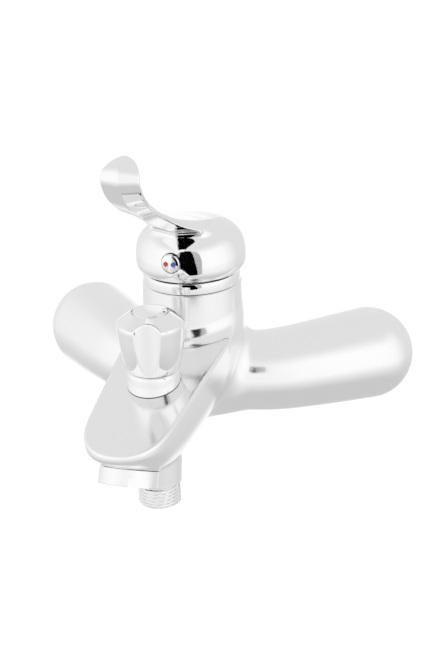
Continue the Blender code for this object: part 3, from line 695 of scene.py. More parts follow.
@dataclass
class BodyCasting:
    """Column, swept back arms, flat topped spout, shower boss and aerator boss in one chromed casting."""

    seam: Place
    column_top: float = 24.7
    column_foot: float = 25.4
    column_bottom: float = -70.0
    arm_height: float = -50.7
    arm_root: float = 19.8
    arm_end: float = 23.5
    inlet_x: float = 75.0
    inlet_y: float = 48.5
    inlet_face: float = 56.0
    plate_slope: float = 0.267
    plate_y: float = -56.2
    plate_z: float = -32.3
    tip_y: float = -112.25
    boss_y: float = -56.2
    boss_bottom: float = -84.6
    aerator_tilt: float = math.radians(24.0)
    aerator_y: float = -95.2
    aerator_z: float = -70.0
    aerator_top: float = 8.5
    aerator_r: float = 13.6
    plate_edge: float = 2.6
    tip_start: float = 80.0
    tip_power: float = 3.2
    side_power: float = 2.2
    belly_power: float = 2.3
    belly_depth: float = 39.0
    foot_round: float = 15.0
    spout_fillet: float = 7.0
    arm_fillet: float = 8.0
    boss_fillet: float = 2.0
    voxel: float = 0.95
    arm_curve: Points = field(default_factory=lambda: np.zeros((0, 3)))

    def __post_init__(self) -> None:
        """Work out the arm's centre line."""
        corners = [(-4, 9), (14, 9.5), (27, 11.5), (39, 17), (50, 25.5), (60, 34.5),
                   (self.inlet_x, self.inlet_y)]
        self.arm_curve = np.array([(x, y, self.arm_height) for x, y in curve_through(corners, 8)])

    def arm_radius(self, share: np.ndarray) -> np.ndarray:
        """Arm radius at a share of its length."""
        return self.arm_root + (self.arm_end - self.arm_root) * np.clip(share, 0.0, 1.0) ** 1.6

    def plate(self, y: np.ndarray) -> np.ndarray:
        """Height of the spout's flat top."""
        return self.plate_z + self.plate_slope * (y - self.plate_y)

    def half_width(self, y: np.ndarray) -> np.ndarray:
        """Half width of the spout before its tip is rounded off."""
        beside = np.clip((y + 22.0) / 28.0, 0.0, 1.3)
        return (26.6 - 0.07 * (-y - 20.0)) * (1.0 - 0.34 * beside ** 1.5)

    def depth(self, y: np.ndarray) -> np.ndarray:
        """Depth of the belly: shallow at the tip and full under the diverter."""
        behind = np.maximum(1.5 + 1.05 * (y - self.tip_y), 0.5)
        share = behind / self.belly_depth
        lip = 5.2 * np.exp(-(behind - 1.5) / 7.0)
        return self.belly_depth * (1.0 - np.exp(-share * (1.0 + 0.55 * share))) + lip

    def past_tip(self, y: float | np.ndarray) -> float | np.ndarray:
        """How far into the rounding of the tip: nothing before it, one at the very end."""
        return np.maximum((-y - self.tip_start) / (-self.tip_y - self.tip_start), 0.0)

    def belly_level(self, points: Points) -> np.ndarray:
        """Level function of the spout below its top: zero on the side wall and the belly."""
        x, y, z = points.T
        outline = (np.abs(x) / self.half_width(y)) ** self.side_power + self.past_tip(y) ** self.tip_power
        below = np.maximum(self.plate(y) - z - self.plate_edge, 0.0) / self.depth(y)
        return outline + below ** self.belly_power - 1.0

    def aerator_frame(self) -> Matrix:
        """Frame at the aerator's rim, with Z up its tilted axis."""
        turn = Matrix.Rotation(-self.aerator_tilt, 4, "X")
        return Matrix.Translation((0.0, self.aerator_y, self.aerator_z)) @ turn

    def distance(self, points: Points) -> np.ndarray:
        """Distance field of the whole casting, with its fillets.

        Args:
            points: Points in millimetres.

        Returns:
            Distances, negative inside.
        """
        x, y, z = points.T
        around = np.hypot(x, y)
        taper = np.clip(-z / 40.0, 0.0, 1.0)
        column = around - (self.column_top + (self.column_foot - self.column_top) * taper)
        column = rounded_overlap(column, self.column_bottom - z, self.foot_round)
        column = rounded_overlap(column, z - 3.0, 0.5)
        mirrored = np.stack([np.abs(x), y, z], axis=1)
        reach, along, _ = nearest_on(self.arm_curve, mirrored)
        arm = reach - self.arm_radius(along / (len(self.arm_curve) - 1))
        level = as_distance(self.belly_level, points)
        top = (z - self.plate(y)) / math.hypot(1.0, self.plate_slope)
        spout = rounded_overlap(top, level, 1.1)
        spout = rounded_overlap(spout, y - 8.0, 6.0)
        boss_reach = np.hypot(x, y - self.boss_y)
        boss = boss_reach - np.interp(-z, (60.0, 68.0, 83.0, 88.0), (12.6, 12.4, 11.4, 11.2))
        boss = np.maximum(boss, np.maximum(z + 45.0, -z - 88.0))
        back = np.array(self.aerator_frame().inverted())
        local = points @ back[:3, :3].T + back[:3, 3]
        neck = np.hypot(local[:, 0], local[:, 1]) - self.aerator_r
        neck = np.maximum(neck, np.maximum(local[:, 2] - 19.0, 5.0 - local[:, 2]))
        form = fillet_union(column, spout, self.spout_fillet)
        form = fillet_union(form, arm, self.arm_fillet)
        form = fillet_union(form, boss, self.boss_fillet)
        return fillet_union(form, neck, self.boss_fillet)

    def seeds(self) -> list[Shape]:
        """Rough closed shapes that fill the casting."""
        made = [spin([(0, 3), (self.column_top, 3), (self.column_foot, -40), (24.4, -58), (20, -68),
                      (10, -72), (0, self.column_bottom)], 64)]
        count = len(self.arm_curve) - 1
        for side in (-1, 1):
            rings = []
            centres = [Vector((side * x, y, z)) for x, y, z in self.arm_curve]
            ahead = (centres[-1] - centres[-2]).normalized()
            radii = [float(self.arm_radius(np.array(index / count))) for index in range(count + 1)]
            for degrees in (25, 45, 60, 73, 84):
                centres.append(Vector((side * self.inlet_x, self.inlet_y, self.arm_height))
                               + ahead * self.arm_end * math.sin(math.radians(degrees)))
                radii.append(self.arm_end * math.cos(math.radians(degrees)))
            for index, centre in enumerate(centres):
                along = (centres[min(index + 1, len(centres) - 1)] - centres[max(index - 1, 0)]).normalized()
                across = along.cross(Vector((0, 0, 1))).normalized()
                upward = across.cross(along)
                rings.append([centre + radii[index] * (math.cos(turn) * across + math.sin(turn) * upward)
                              for turn in (math.tau * step / 40 for step in range(40))])
            made.append(loft(rings))
        made.append(loft([self.spout_ring(y) for y in np.linspace(7.0, self.tip_y + 0.3, 66)]))
        boss = spin([(0, -45), (12.6, -45), (12.4, -68), (11.2, -88), (0, -88)], 48)
        neck = spin([(0, 5), (self.aerator_r, 5), (self.aerator_r, 19), (0, 19)], 48)
        moved(boss, Matrix.Translation((0, self.boss_y, 0)))
        return [*made, boss, moved(neck, self.aerator_frame())]

    def spout_ring(self, y: float) -> list[Vector]:
        """One section of the spout: flat top, rounded belly."""
        left_over = max(1.0 - float(self.past_tip(y)) ** self.tip_power, 0.0)
        width = float(self.half_width(np.array(y))) * left_over ** (1 / self.side_power)
        depth = float(self.depth(np.array(y))) * left_over ** (1 / self.belly_power)
        top = float(self.plate(np.array(y)))
        brim = top - self.plate_edge
        half = [(width * share, top) for share in (0.35, 0.7, 1.0)]
        for step in range(1, 14):
            angle = math.pi / 2 * step / 14
            across = math.cos(angle) ** (2 / self.belly_power)
            down = math.sin(angle) ** (2 / self.belly_power)
            half.append((width * across, brim - depth * down))
        right = [Vector((across, y, height)) for across, height in half]
        left = [Vector((-point.x, point.y, point.z)) for point in reversed(right)]
        return [Vector((0, y, top)), *right, Vector((0, y, brim - depth)), *left]

    def trim(self, skin: Shape, at: Matrix, within: float, lowest: float) -> None:
        """Cut the skin off square, above the XY plane of a frame.

        Args:
            skin: The skin.
            at: Frame of the cut; what lies above its XY plane goes.
            within: Only faces this close to the frame's Z axis are touched.
            lowest: Only faces above this height in the frame are touched.
        """
        back = at.inverted()
        near = []
        for face in skin.faces:
            local = back @ face.calc_center_median()
            if math.hypot(local.x, local.y) < within and local.z > lowest:
                near.append(face)
        parts = {part for face in near for part in (*face.edges, *face.verts)}
        bmesh.ops.bisect_plane(skin, geom=[*near, *parts], dist=CUT_TOLERANCE, plane_co=at.translation,
                               plane_no=at.to_3x3() @ Vector((0, 0, 1)), clear_outer=True)

    def build(self) -> Piece:
        """Cast the skin, cut its openings and dress it."""
        skin = cast(self.seeds(), self.distance, self.voxel)
        top = Matrix.Translation((0, 0, -0.4))
        self.trim(skin, top, 40.0, -5.0)
        line_rim(skin, open_edges(skin, lambda p: p.z > -1.0), top,
                 [(self.column_top - 0.4, 0.4), (20.5, 0.4), (20.3, 0.2), (20.3, -7.6), (17.6, -7.6),
                  (17.6, -24.0)])
        down = Matrix.Translation((0, self.boss_y, self.boss_bottom + 0.4)) @ Matrix.Rotation(math.pi, 4, "X")
        self.trim(skin, down, 30.0, -5.0)
        line_rim(skin, open_edges(skin, lambda p: p.z < -80.0), down,
                 [(10.9, 0.4), (8.6, 0.4), (8.4, 0.2), (8.4, -12.0), (4.5, -12.0), (4.5, -14.0)])
        for side in (-1, 1):
            rear = Matrix.Translation((side * self.inlet_x, self.inlet_face, self.arm_height)) @ \
                Matrix.Rotation(-math.pi / 2, 4, "X")
            self.trim(skin, rear, 40.0, -8.0)
            line_rim(skin, open_edges(skin, lambda p: p.x * side > 0 and p.y > 50.0), rear,
                     [(21.9, 0.3), (21.4, 0.3), (18.6, 0.3), (18.2, -0.1), (18.2, -13.0), (10.4, -13.0),
                      (10.4, -23.4)])
        seat = spin([(0, -8), (14.7, -8), (14.7, self.aerator_top), (12.3, self.aerator_top), (12.1, 8.7),
                     (12.1, 15), (4.2, 15), (4.2, 16.5), (0, 16.5)], 128)
        skin = cut(skin, [moved(seat, self.aerator_frame())])
        return finished("casting", skin, self.seam.world(), CHROME_SATIN, "body", "body_casting", sharp=48.0)


@dataclass
class LeverHandle:
    """Domed handle with a curled lever that has a low ridge along its front."""

    seam: Place
    dome_r: float = 27.6
    dome_middle: float = 13.0
    dome_rise: float = 19.4
    dome_drop: float = 10.5
    dome_power: float = 2.7
    dome_fillet: float = 5.0
    rim: float = 7.3
    ridge: float = 2.0
    flare: float = 5.0
    flare_run: float = 18.0
    tip_round: float = 1.45
    root_width: float = 8.6
    tip_width: float = 9.9
    voxel: float = 0.55
    plug_height: float = 17.8
    curve: Points = field(default_factory=lambda: np.zeros((0, 2)))

    def __post_init__(self) -> None:
        """Work out the lever's front ridge, as (y, z)."""
        corners = [(-12, 27.5), (-28.4, 35.0), (-46.8, 44.2), (-65.7, 54.8), (-79.1, 65.0), (-85.9, 75.5),
                   (-84.2, 83.4), (-76.0, 88.2)]
        self.curve = curve_through(corners, 14)

    def lengths(self) -> np.ndarray:
        """Running length at each point of the ridge."""
        steps = np.linalg.norm(np.diff(self.curve, axis=0), axis=1)
        return np.concatenate([[0.0], np.cumsum(steps)])

    def half_width(self, run: np.ndarray) -> np.ndarray:
        """Half width of the strap at a running length."""
        total = self.lengths()[-1]
        strap = self.root_width + (self.tip_width - self.root_width) * np.clip(run / (0.7 * total), 0.0, 1.0)
        return strap + self.flare * np.exp(-(np.clip(run, 0.0, None) / self.flare_run) ** 2)

    def thickness(self, run: np.ndarray) -> np.ndarray:
        """Thickness of the strap at a running length."""
        return 4.3 + 5.5 * np.exp(-np.clip(run, 0.0, None) / 24.0)

    def dome_level(self, points: Points) -> np.ndarray:
        """Level function of the dome: flattened above, drawn in below."""
        x, y, z = points.T
        around = np.hypot(x, y) / self.dome_r
        rise = np.where(z > self.dome_middle, self.dome_rise, self.dome_drop)
        power = self.dome_power
        return (around ** power + (np.abs(z - self.dome_middle) / rise) ** power) ** (1 / power) - 1.0

    def strap(self, points: Points) -> np.ndarray:
        """Distance field of the curled lever.

        Args:
            points: Points in millimetres.

        Returns:
            Distances, negative inside.
        """
        x = points[:, 0]
        flat = points[:, 1:]
        _, along, owner = nearest_on(self.curve, flat)
        start, end = self.curve[owner], self.curve[owner + 1]
        run = end - start
        step = np.linalg.norm(run, axis=1)
        normal = np.stack([run[:, 1], -run[:, 0]], axis=1) / step[:, None]
        lengths = self.lengths()
        share = along - owner
        foot = start + share[:, None] * run
        beyond = ((flat - foot) * run).sum(axis=1) / step
        travel = lengths[owner] + share * step + beyond
        inward = ((flat - foot) * normal).sum(axis=1)
        width = self.half_width(travel)
        across = np.abs(x) / width
        front = self.ridge * (np.sqrt(across ** 2 + 0.0009) - 0.03) - inward
        thick = self.thickness(travel)
        back = inward - (thick - 0.28 * thick * np.clip(across, 0.0, 1.2) ** 2 * 0.6)
        end_round = np.maximum(travel - (lengths[-1] - self.tip_width * self.tip_round), 0.0) / self.tip_round
        outline = np.hypot(x, end_round) - width
        skin = rounded_overlap(front, back, 0.7)
        return rounded_overlap(skin, outline, 0.8)

    def distance(self, points: Points) -> np.ndarray:
        """Distance field of dome and lever together."""
        dome = as_distance(self.dome_level, points)
        return fillet_union(dome, self.strap(points), self.dome_fillet)

    def seeds(self) -> list[Shape]:
        """Rough closed shapes that fill the handle."""
        outline: Outline = []
        for step in range(24):
            angle = math.pi / 2 - math.pi * step / 23
            rise = self.dome_rise if angle > 0 else self.dome_drop
            bulge = 2 / self.dome_power
            outline.append((self.dome_r * max(math.cos(angle), 0.0) ** bulge,
                            self.dome_middle + rise * math.copysign(abs(math.sin(angle)) ** bulge, angle)))
        outline[0] = (0.0, outline[0][1])
        outline[-1] = (0.0, outline[-1][1])
        lengths = self.lengths()
        rings = []
        for index, (y, z) in enumerate(self.curve):
            run = self.curve[min(index + 1, len(self.curve) - 1)] - self.curve[max(index - 1, 0)]
            inward = Vector((0.0, run[1], -run[0])).normalized()
            left = lengths[-1] - lengths[index]
            rounding = max(1.0 - left / (self.tip_width * self.tip_round), 0.0)
            width = float(self.half_width(lengths[index])) * math.sqrt(max(1.0 - rounding ** 2, 0.03))
            thick = float(self.thickness(lengths[index]))
            point = Vector((0.0, y, z))
            section = [(0, 0), (0.9, self.ridge * 0.9), (1, self.ridge + 0.6), (0.9, 0.85 * thick),
                       (0, thick)]
            half = [point + Vector((across * width, 0, 0)) + inward * deep for across, deep in section]
            rings.append(half + [Vector((-p.x, p.y, p.z)) for p in reversed(half[1:-1])])
        return [spin(outline, 64), loft(rings)]

    def build(self) -> Piece:
        """Cast the handle, hollow it out and dress it."""
        skin = cast(self.seeds(), self.distance, self.voxel)
        underside = Matrix.Translation((0, 0, self.rim)) @ Matrix.Rotation(math.pi, 4, "X")
        parts = [*skin.verts, *skin.edges, *skin.faces]
        bmesh.ops.bisect_plane(skin, geom=parts, dist=CUT_TOLERANCE, plane_co=(0, 0, self.rim),
                               plane_no=(0, 0, -1), clear_outer=True)
        hollow = [(25.3, 0.0), (25.1, -0.2), (25.1, -4.7), (24.8, -10.7), (23.8, -15.0), (22.0, -17.2),
                  (17.0, -20.7), (8.6, -21.7), (8.4, -21.4), (8.4, -5.4), (8.2, -5.2), (5.9, -5.2),
                  (5.7, -5.4), (5.7, -18.7)]
        line_rim(skin, open_edges(skin, lambda p: abs(p.z - self.rim) < 0.05), underside, hollow)
        front = Matrix.Translation((0, 0, self.plug_height)) @ Matrix.Rotation(math.pi / 2, 4, "X")
        recess = spin(rounded([(0, 25.2), (5.1, 25.2), (5.1, 40), (0, 40)], 0.2), 96)
        hole = spin([(0, 2.0), (2.9, 2.0), (2.9, 30), (0, 30)], 64)
        skin = cut(skin, [moved(recess, front), moved(hole, front)])
        return finished("handle", skin, self.seam.world(), CHROME, "lever", "lever_handle", sharp=40.0)


@dataclass
class HandleTrim:
    """Chromed plug on the front of the dome, with a red and a blue dot."""

    seam: Place
    height: float = 17.8
    dot_x: float = 2.0

    def build(self) -> list[Piece]:
        """Turn the plug and its dots."""
        to_front = Matrix.Translation((0, 0, self.height)) @ Matrix.Rotation(math.pi / 2, 4, "X")
        outline = [(0, 22.5), (2.5, 22.5), (2.5, 26.0), (4.7, 26.0), (4.7, 27.7), (4.45, 28.2), (3.6, 28.6),
                   (2.0, 28.9), (0, 29.0)]
        plug = spin(rounded(outline, 0.25), 96)
        sockets = []
        for x in (-self.dot_x, self.dot_x):
            socket = spin(rounded([(0, 28.2), (1.3, 28.2), (1.3, 31), (0, 31)], 0.1), 40)
            sockets.append(moved(socket, Matrix.Translation((x, 0, 0))))
        plug = cut(plug, sockets)
        place = self.seam.world() @ to_front
        pieces = [finished("plug", plug, place, CHROME_TURNED, "lever", "indicator_plug", sharp=40.0)]
        for word, x, finish in (("hot", -self.dot_x, RED), ("cold", self.dot_x, BLUE)):
            dot = spin(rounded([(0, 28.3), (1.1, 28.3), (1.1, 28.95), (0.75, 29.15), (0, 29.25)], 0.2), 40)
            moved(dot, Matrix.Translation((x, 0, 0)))
            pieces.append(finished(f"dot_{word}", dot, place, finish, "lever", f"{word}_dot"))
        return pieces


@dataclass
class Collar:
    """Chromed ring between the dome and the column."""

    seam: Place
    radius: float = 24.3

    def build(self) -> Piece:
        """Turn the collar."""
        outline = [(self.radius, 0.3), (self.radius, 4.6), (23.8, 5.9), (22.6, 6.5), (18.0, 7.0), (15.0, 7.1),
                   (15.0, 5.1), (19.0, 4.8), (20.6, 4.0), (20.6, 0.3)]
        return finished("collar", spin(rounded(outline, 0.5), 160), self.seam.world(), CHROME_TURNED, "body",
                        "cartridge_collar")


@dataclass
class DiverterKnob:
    """Tapered knob with three upright round flutes, a cap and a base ring."""

    axis: Place
    casting: BodyCasting
    front_flute: float = math.radians(-76.0)
    flute_r: float = 10.0
    flute_axis: float = 22.6
    edge: float = 0.5
    sides: int = 264
    cap_r: float = 8.7

    def reach(self, angle: float, radius: float) -> float:
        """Radius of the fluted surface at an angle, where the plain knob has the given radius."""
        turn = (angle - self.front_flute + math.pi / 3) % (math.tau / 3) - math.pi / 3
        inside = self.flute_r ** 2 - (self.flute_axis * math.sin(turn)) ** 2
        if inside <= 0.0:
            return radius
        wall = self.flute_axis * math.cos(turn) - math.sqrt(inside)
        blend = max(self.edge - abs(radius - wall), 0.0) / self.edge
        return min(radius, wall) - blend * blend * self.edge * 0.25

    def plain(self) -> Outline:
        """Outline of the knob before its flutes, from the base up."""
        corners = [(12.3, -25.5), (12.7, -25.2), (13.3, -23.5), (14.6, -18.0), (15.7, -12.0), (16.5, -6.0),
                   (16.9, -2.6), (16.7, -1.4), (15.9, -0.5), (12.4, 2.0), (9.9, 3.75), (9.4, 4.0)]
        points = curve_through(corners, 5)
        return [(float(radius), float(height)) for radius, height in points]

    def build(self) -> list[Piece]:
        """Shape the knob, its cap and its base ring."""
        knob = tube([polar_ring(self.sides, height, lambda turn, plain=radius: self.reach(turn, plain))
                     for radius, height in self.plain()])
        level = Matrix.Identity(4)
        line_rim(knob, open_edges(knob, lambda p: p.z > 3.0), level, [(9.05, 3.95), (9.0, 3.8), (9.0, 2.2)])
        line_rim(knob, open_edges(knob, lambda p: p.z < -20.0), level,
                 [(10.4, -25.5), (10.2, -25.2), (10.2, -16), (8.6, -11), (6.7, -11), (6.6, -11.2), (6.6, -24),
                  (4.1, -24), (3.9, -23.8), (3.9, -7.6)])
        cap = spin(rounded([(0, 2.5), (self.cap_r, 2.5), (self.cap_r, 3.95), (8.35, 4.3), (6.0, 4.45),
                            (0, 4.5)], 0.3), 160)
        return [
            finished("knob", knob, self.axis.world(), CHROME, "diverter", "diverter_knob", sharp=50.0),
            finished("knob_cap", cap, self.axis.world(), CHROME_TURNED, "diverter", "diverter_knob_cap"),
            self.base_ring(),
        ]

    def base_ring(self) -> Piece:
        """Turned ring under the knob, cut to the slope of the plate."""
        ring = spin(rounded([(13.0, -27.2), (13.0, -36.0), (10.2, -36.0), (10.2, -25.8), (12.3, -25.8)],
                            0.5), 160)
        foot = self.casting.plate_z + 0.3
        across = Vector((0.0, -self.casting.plate_slope, 1.0)).normalized()
        parts = [*ring.verts, *ring.edges, *ring.faces]
        bmesh.ops.bisect_plane(ring, geom=parts, dist=CUT_TOLERANCE, plane_co=(0, 0, foot), plane_no=across,
                               clear_inner=True)
        bmesh.ops.bridge_loops(ring, edges=open_edges(ring, lambda p: True))
        return finished("knob_ring", ring, self.axis.world(), CHROME_TURNED, "body", "diverter_base_ring")


@dataclass
class Aerator:
    """Chromed aerator housing with two spanner flats, and its perforated insert."""

    rim: Place
    radius: float = 14.3
    height: float = 8.2
    flats: tuple[float, float] = (44.0, 224.0)

    def build(self) -> list[Piece]:
        """Turn the housing, mill its flats and drill the insert."""
        outline = [(self.radius - 0.2, 0), (self.radius, 0.4), (self.radius, self.height),
                   (11.8, self.height), (11.8, 13.4), (10.4, 13.4), (10.4, 1.4), (9.4, 1.4), (9.4, 0)]
        housing = spin(rounded(outline, 0.35), 160)
        mills = []
        for degrees in self.flats:
            mill = bmesh.new()
            bmesh.ops.create_cube(mill, size=1.0)
            bmesh.ops.scale(mill, vec=(7.4, 10.8, 5.6), verts=mill.verts)
            bmesh.ops.translate(mill, vec=(16.3, 0, 1.8), verts=mill.verts)
            moved(mill, Matrix.Rotation(math.radians(degrees - 90), 4, "Z"))
            bmesh.ops.bevel(mill, geom=mill.edges[:], offset=0.2, segments=2, profile=0.5, affect="EDGES",
                            material=-1)
            mills.append(mill)
        housing = cut(housing, mills)
        insert = spin(rounded([(0, 1.8), (10.0, 1.8), (10.0, 8.6), (8.6, 9.6), (0, 9.6)], 0.3), 96)
        holes = []
        for count, ring_r in ((6, 3.4), (12, 7.0)):
            for step in range(count):
                hole = spin([(0, 0), (1.05, 0), (1.05, 12), (0, 12)], 20)
                turn = math.tau * step / count
                shift = Matrix.Translation((ring_r * math.cos(turn), ring_r * math.sin(turn), 0))
                holes.append(moved(hole, shift))
        insert = cut(insert, holes)
        return [
            finished("aerator_ring", housing, self.rim.world(), CHROME_TURNED, "body", "aerator_housing"),
            finished("aerator_core", insert, self.rim.world(), WHITE_PLASTIC, "body", "aerator_insert"),
        ]


@dataclass
class ShowerNipple:
    """Threaded shower outlet, with a real helix."""

    axis: Place
    top: float = -84.9
    bottom: float = -95.9
    crest: float = 10.48
    root: float = 9.4
    sides: int = 120
    rows: int = 96

    def reach(self, turn: float, height: float) -> float:
        """Radius of the thread at an angle and height, run out at both ends."""
        phase = ((height - self.bottom) / PIPE_PITCH - turn / math.tau) % 1.0
        flank = min(max(1.5 - abs(phase - 0.5) * 4.6, 0.0), 1.0)
        fade = min((self.top - 0.5 - height) / 0.9, (height - self.bottom) / 0.8, 1.0)
        return self.root + (self.crest - self.root) * flank * max(fade, 0.0)

    def build(self) -> Piece:
        """Cut the thread round by round and bore the outlet."""
        heights = [self.bottom + (self.top - self.bottom) * row / self.rows for row in range(self.rows + 1)]
        nipple = tube([polar_ring(self.sides, height, lambda turn, at=height: self.reach(turn, at))
                       for height in heights])
        middle = (self.top + self.bottom) / 2
        level = Matrix.Identity(4)
        lower = open_edges(nipple, lambda p: p.z < middle)
        upper = open_edges(nipple, lambda p: p.z > middle)
        inner = extend_rim(nipple, lower, level, [(6.9, self.bottom), (6.6, self.bottom + 0.3), (6.6, -73.6)])
        outer = extend_rim(nipple, upper, level, [(8.0, self.top), (7.9, self.top + 0.1), (7.9, -73.6),
                                                  (7.6, -73.4), (6.8, -73.4)])
        bmesh.ops.bridge_loops(nipple, edges=inner + outer)
        return finished("nipple", nipple, self.axis.world(), CHROME_TURNED, "body", "shower_nipple")


@dataclass
class ReturnSpring:
    """Coil under the check valve's poppet."""

    axis: Place
    bottom: float = -91.3
    height: float = 7.6
    coil_r: float = 2.15
    wire_r: float = 0.33
    turns: int = 5
    travel: float = 2.0

    def build(self) -> Piece:
        """Wind the coil and dress it."""
        rings = []
        steps = self.turns * 36
        for step in range(steps + 1):
            turn = math.tau * self.turns * step / steps
            rise = self.bottom + self.wire_r + (self.height - 2 * self.wire_r) * step / steps
            out = Vector((math.cos(turn), math.sin(turn), 0.0))
            centre = out * self.coil_r + Vector((0.0, 0.0, rise))
            rings.append([centre + self.wire_r * (math.cos(angle) * out + math.sin(angle) * Vector((0, 0, 1)))
                          for angle in (math.tau * side / 12 for side in range(12))])
        piece = finished("spring_coil", loft(rings), self.axis.world(), STEEL, "body", "check_valve_spring")
        foot = self.axis.world() @ Vector((0.0, 0.0, self.bottom))
        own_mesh(piece)
        return piece


@dataclass
class Inlet:
    """Union nut and filter washer of one inlet, in a frame on its own axis with Z towards the wall."""

    face: Place
    word: str
    flats_r: float = 15.0
    thread_r: float = 12.3
    thread_root: float = 12.75

    def build(self) -> list[Piece]:
        """Mill the nut, cut its inner thread and press the filter washer."""
        corner = self.flats_r / math.cos(math.pi / 6)
        hexagon = bmesh.new()
        bmesh.ops.create_cone(hexagon, cap_ends=True, segments=6, radius1=corner, radius2=corner, depth=17.0,
                              matrix=Matrix.Translation((0, 0, -8.5)))
        chamfer = spin([(0, 0.5), (15.0, 0.5), (15.3, 0), (17.9, -1.5), (17.9, -15.6), (16.2, -17),
                        (0, -17.5)], 120)
        nut = cut(hexagon, [chamfer], "INTERSECT")
        crest, root = self.thread_r, self.thread_root
        bore: Outline = [(0, -20), (10.5, -20), (10.5, -14.9), (crest, -14.4)]
        depth = -11.8
        while depth < -0.6:
            bore += [(crest, depth), (root, depth + 0.55), (root, depth + 0.8), (crest, depth + 1.35)]
            depth += PIPE_PITCH
        bore += [(crest, -0.5), (12.9, 0.0), (12.9, 2), (0, 2)]
        nut = cut(nut, [spin(bore, 120)])
        washer = spin(rounded([(0, -9.9), (6.6, -9.9), (6.6, -11.1), (11.8, -11.1), (11.8, -9.1), (8.6, -9.1),
                               (8.2, -9.4), (0, -9.4)], 0.25), 120)
        return [
            finished(f"nut_{self.word}_hexagon", nut, self.face.world(), CHROME_TURNED, f"nut_{self.word}",
                     f"union_nut_{self.word}"),
            finished(f"washer_{self.word}", washer, self.face.world(), RUBBER, "body",
                     f"filter_washer_{self.word}"),
        ]


# ---------------------------------------------------------------- studio

def arithmetic(tree: Tree, operation: str, *values: Socket | float) -> Socket:
    """Add a math node fed by sockets or constants.

    Args:
        tree: Node tree.
        operation: What it does.
        values: Its inputs.

    Returns:
        Its result.
    """
    return add_node(tree, "Math", dict(enumerate(values)), operation=operation).outputs[0]


def grey_ramp(tree: Tree, value: Socket, stops: Outline) -> Socket:
    """Add a ramp of greys.

    Args:
        tree: Node tree.
        value: Where along the ramp.
        stops: (position, grey) in order.

    Returns:
        Its grey.
    """
    node = add_node(tree, "ValToRGB", {"Fac": value})
    elements = node.color_ramp.elements
    while len(elements) < len(stops):
        elements.new(0.5)
    for element, (where, grey) in zip(elements, stops):
        element.position = where
        element.color = (grey, grey, grey, 1.0)
    return node.outputs["Color"]


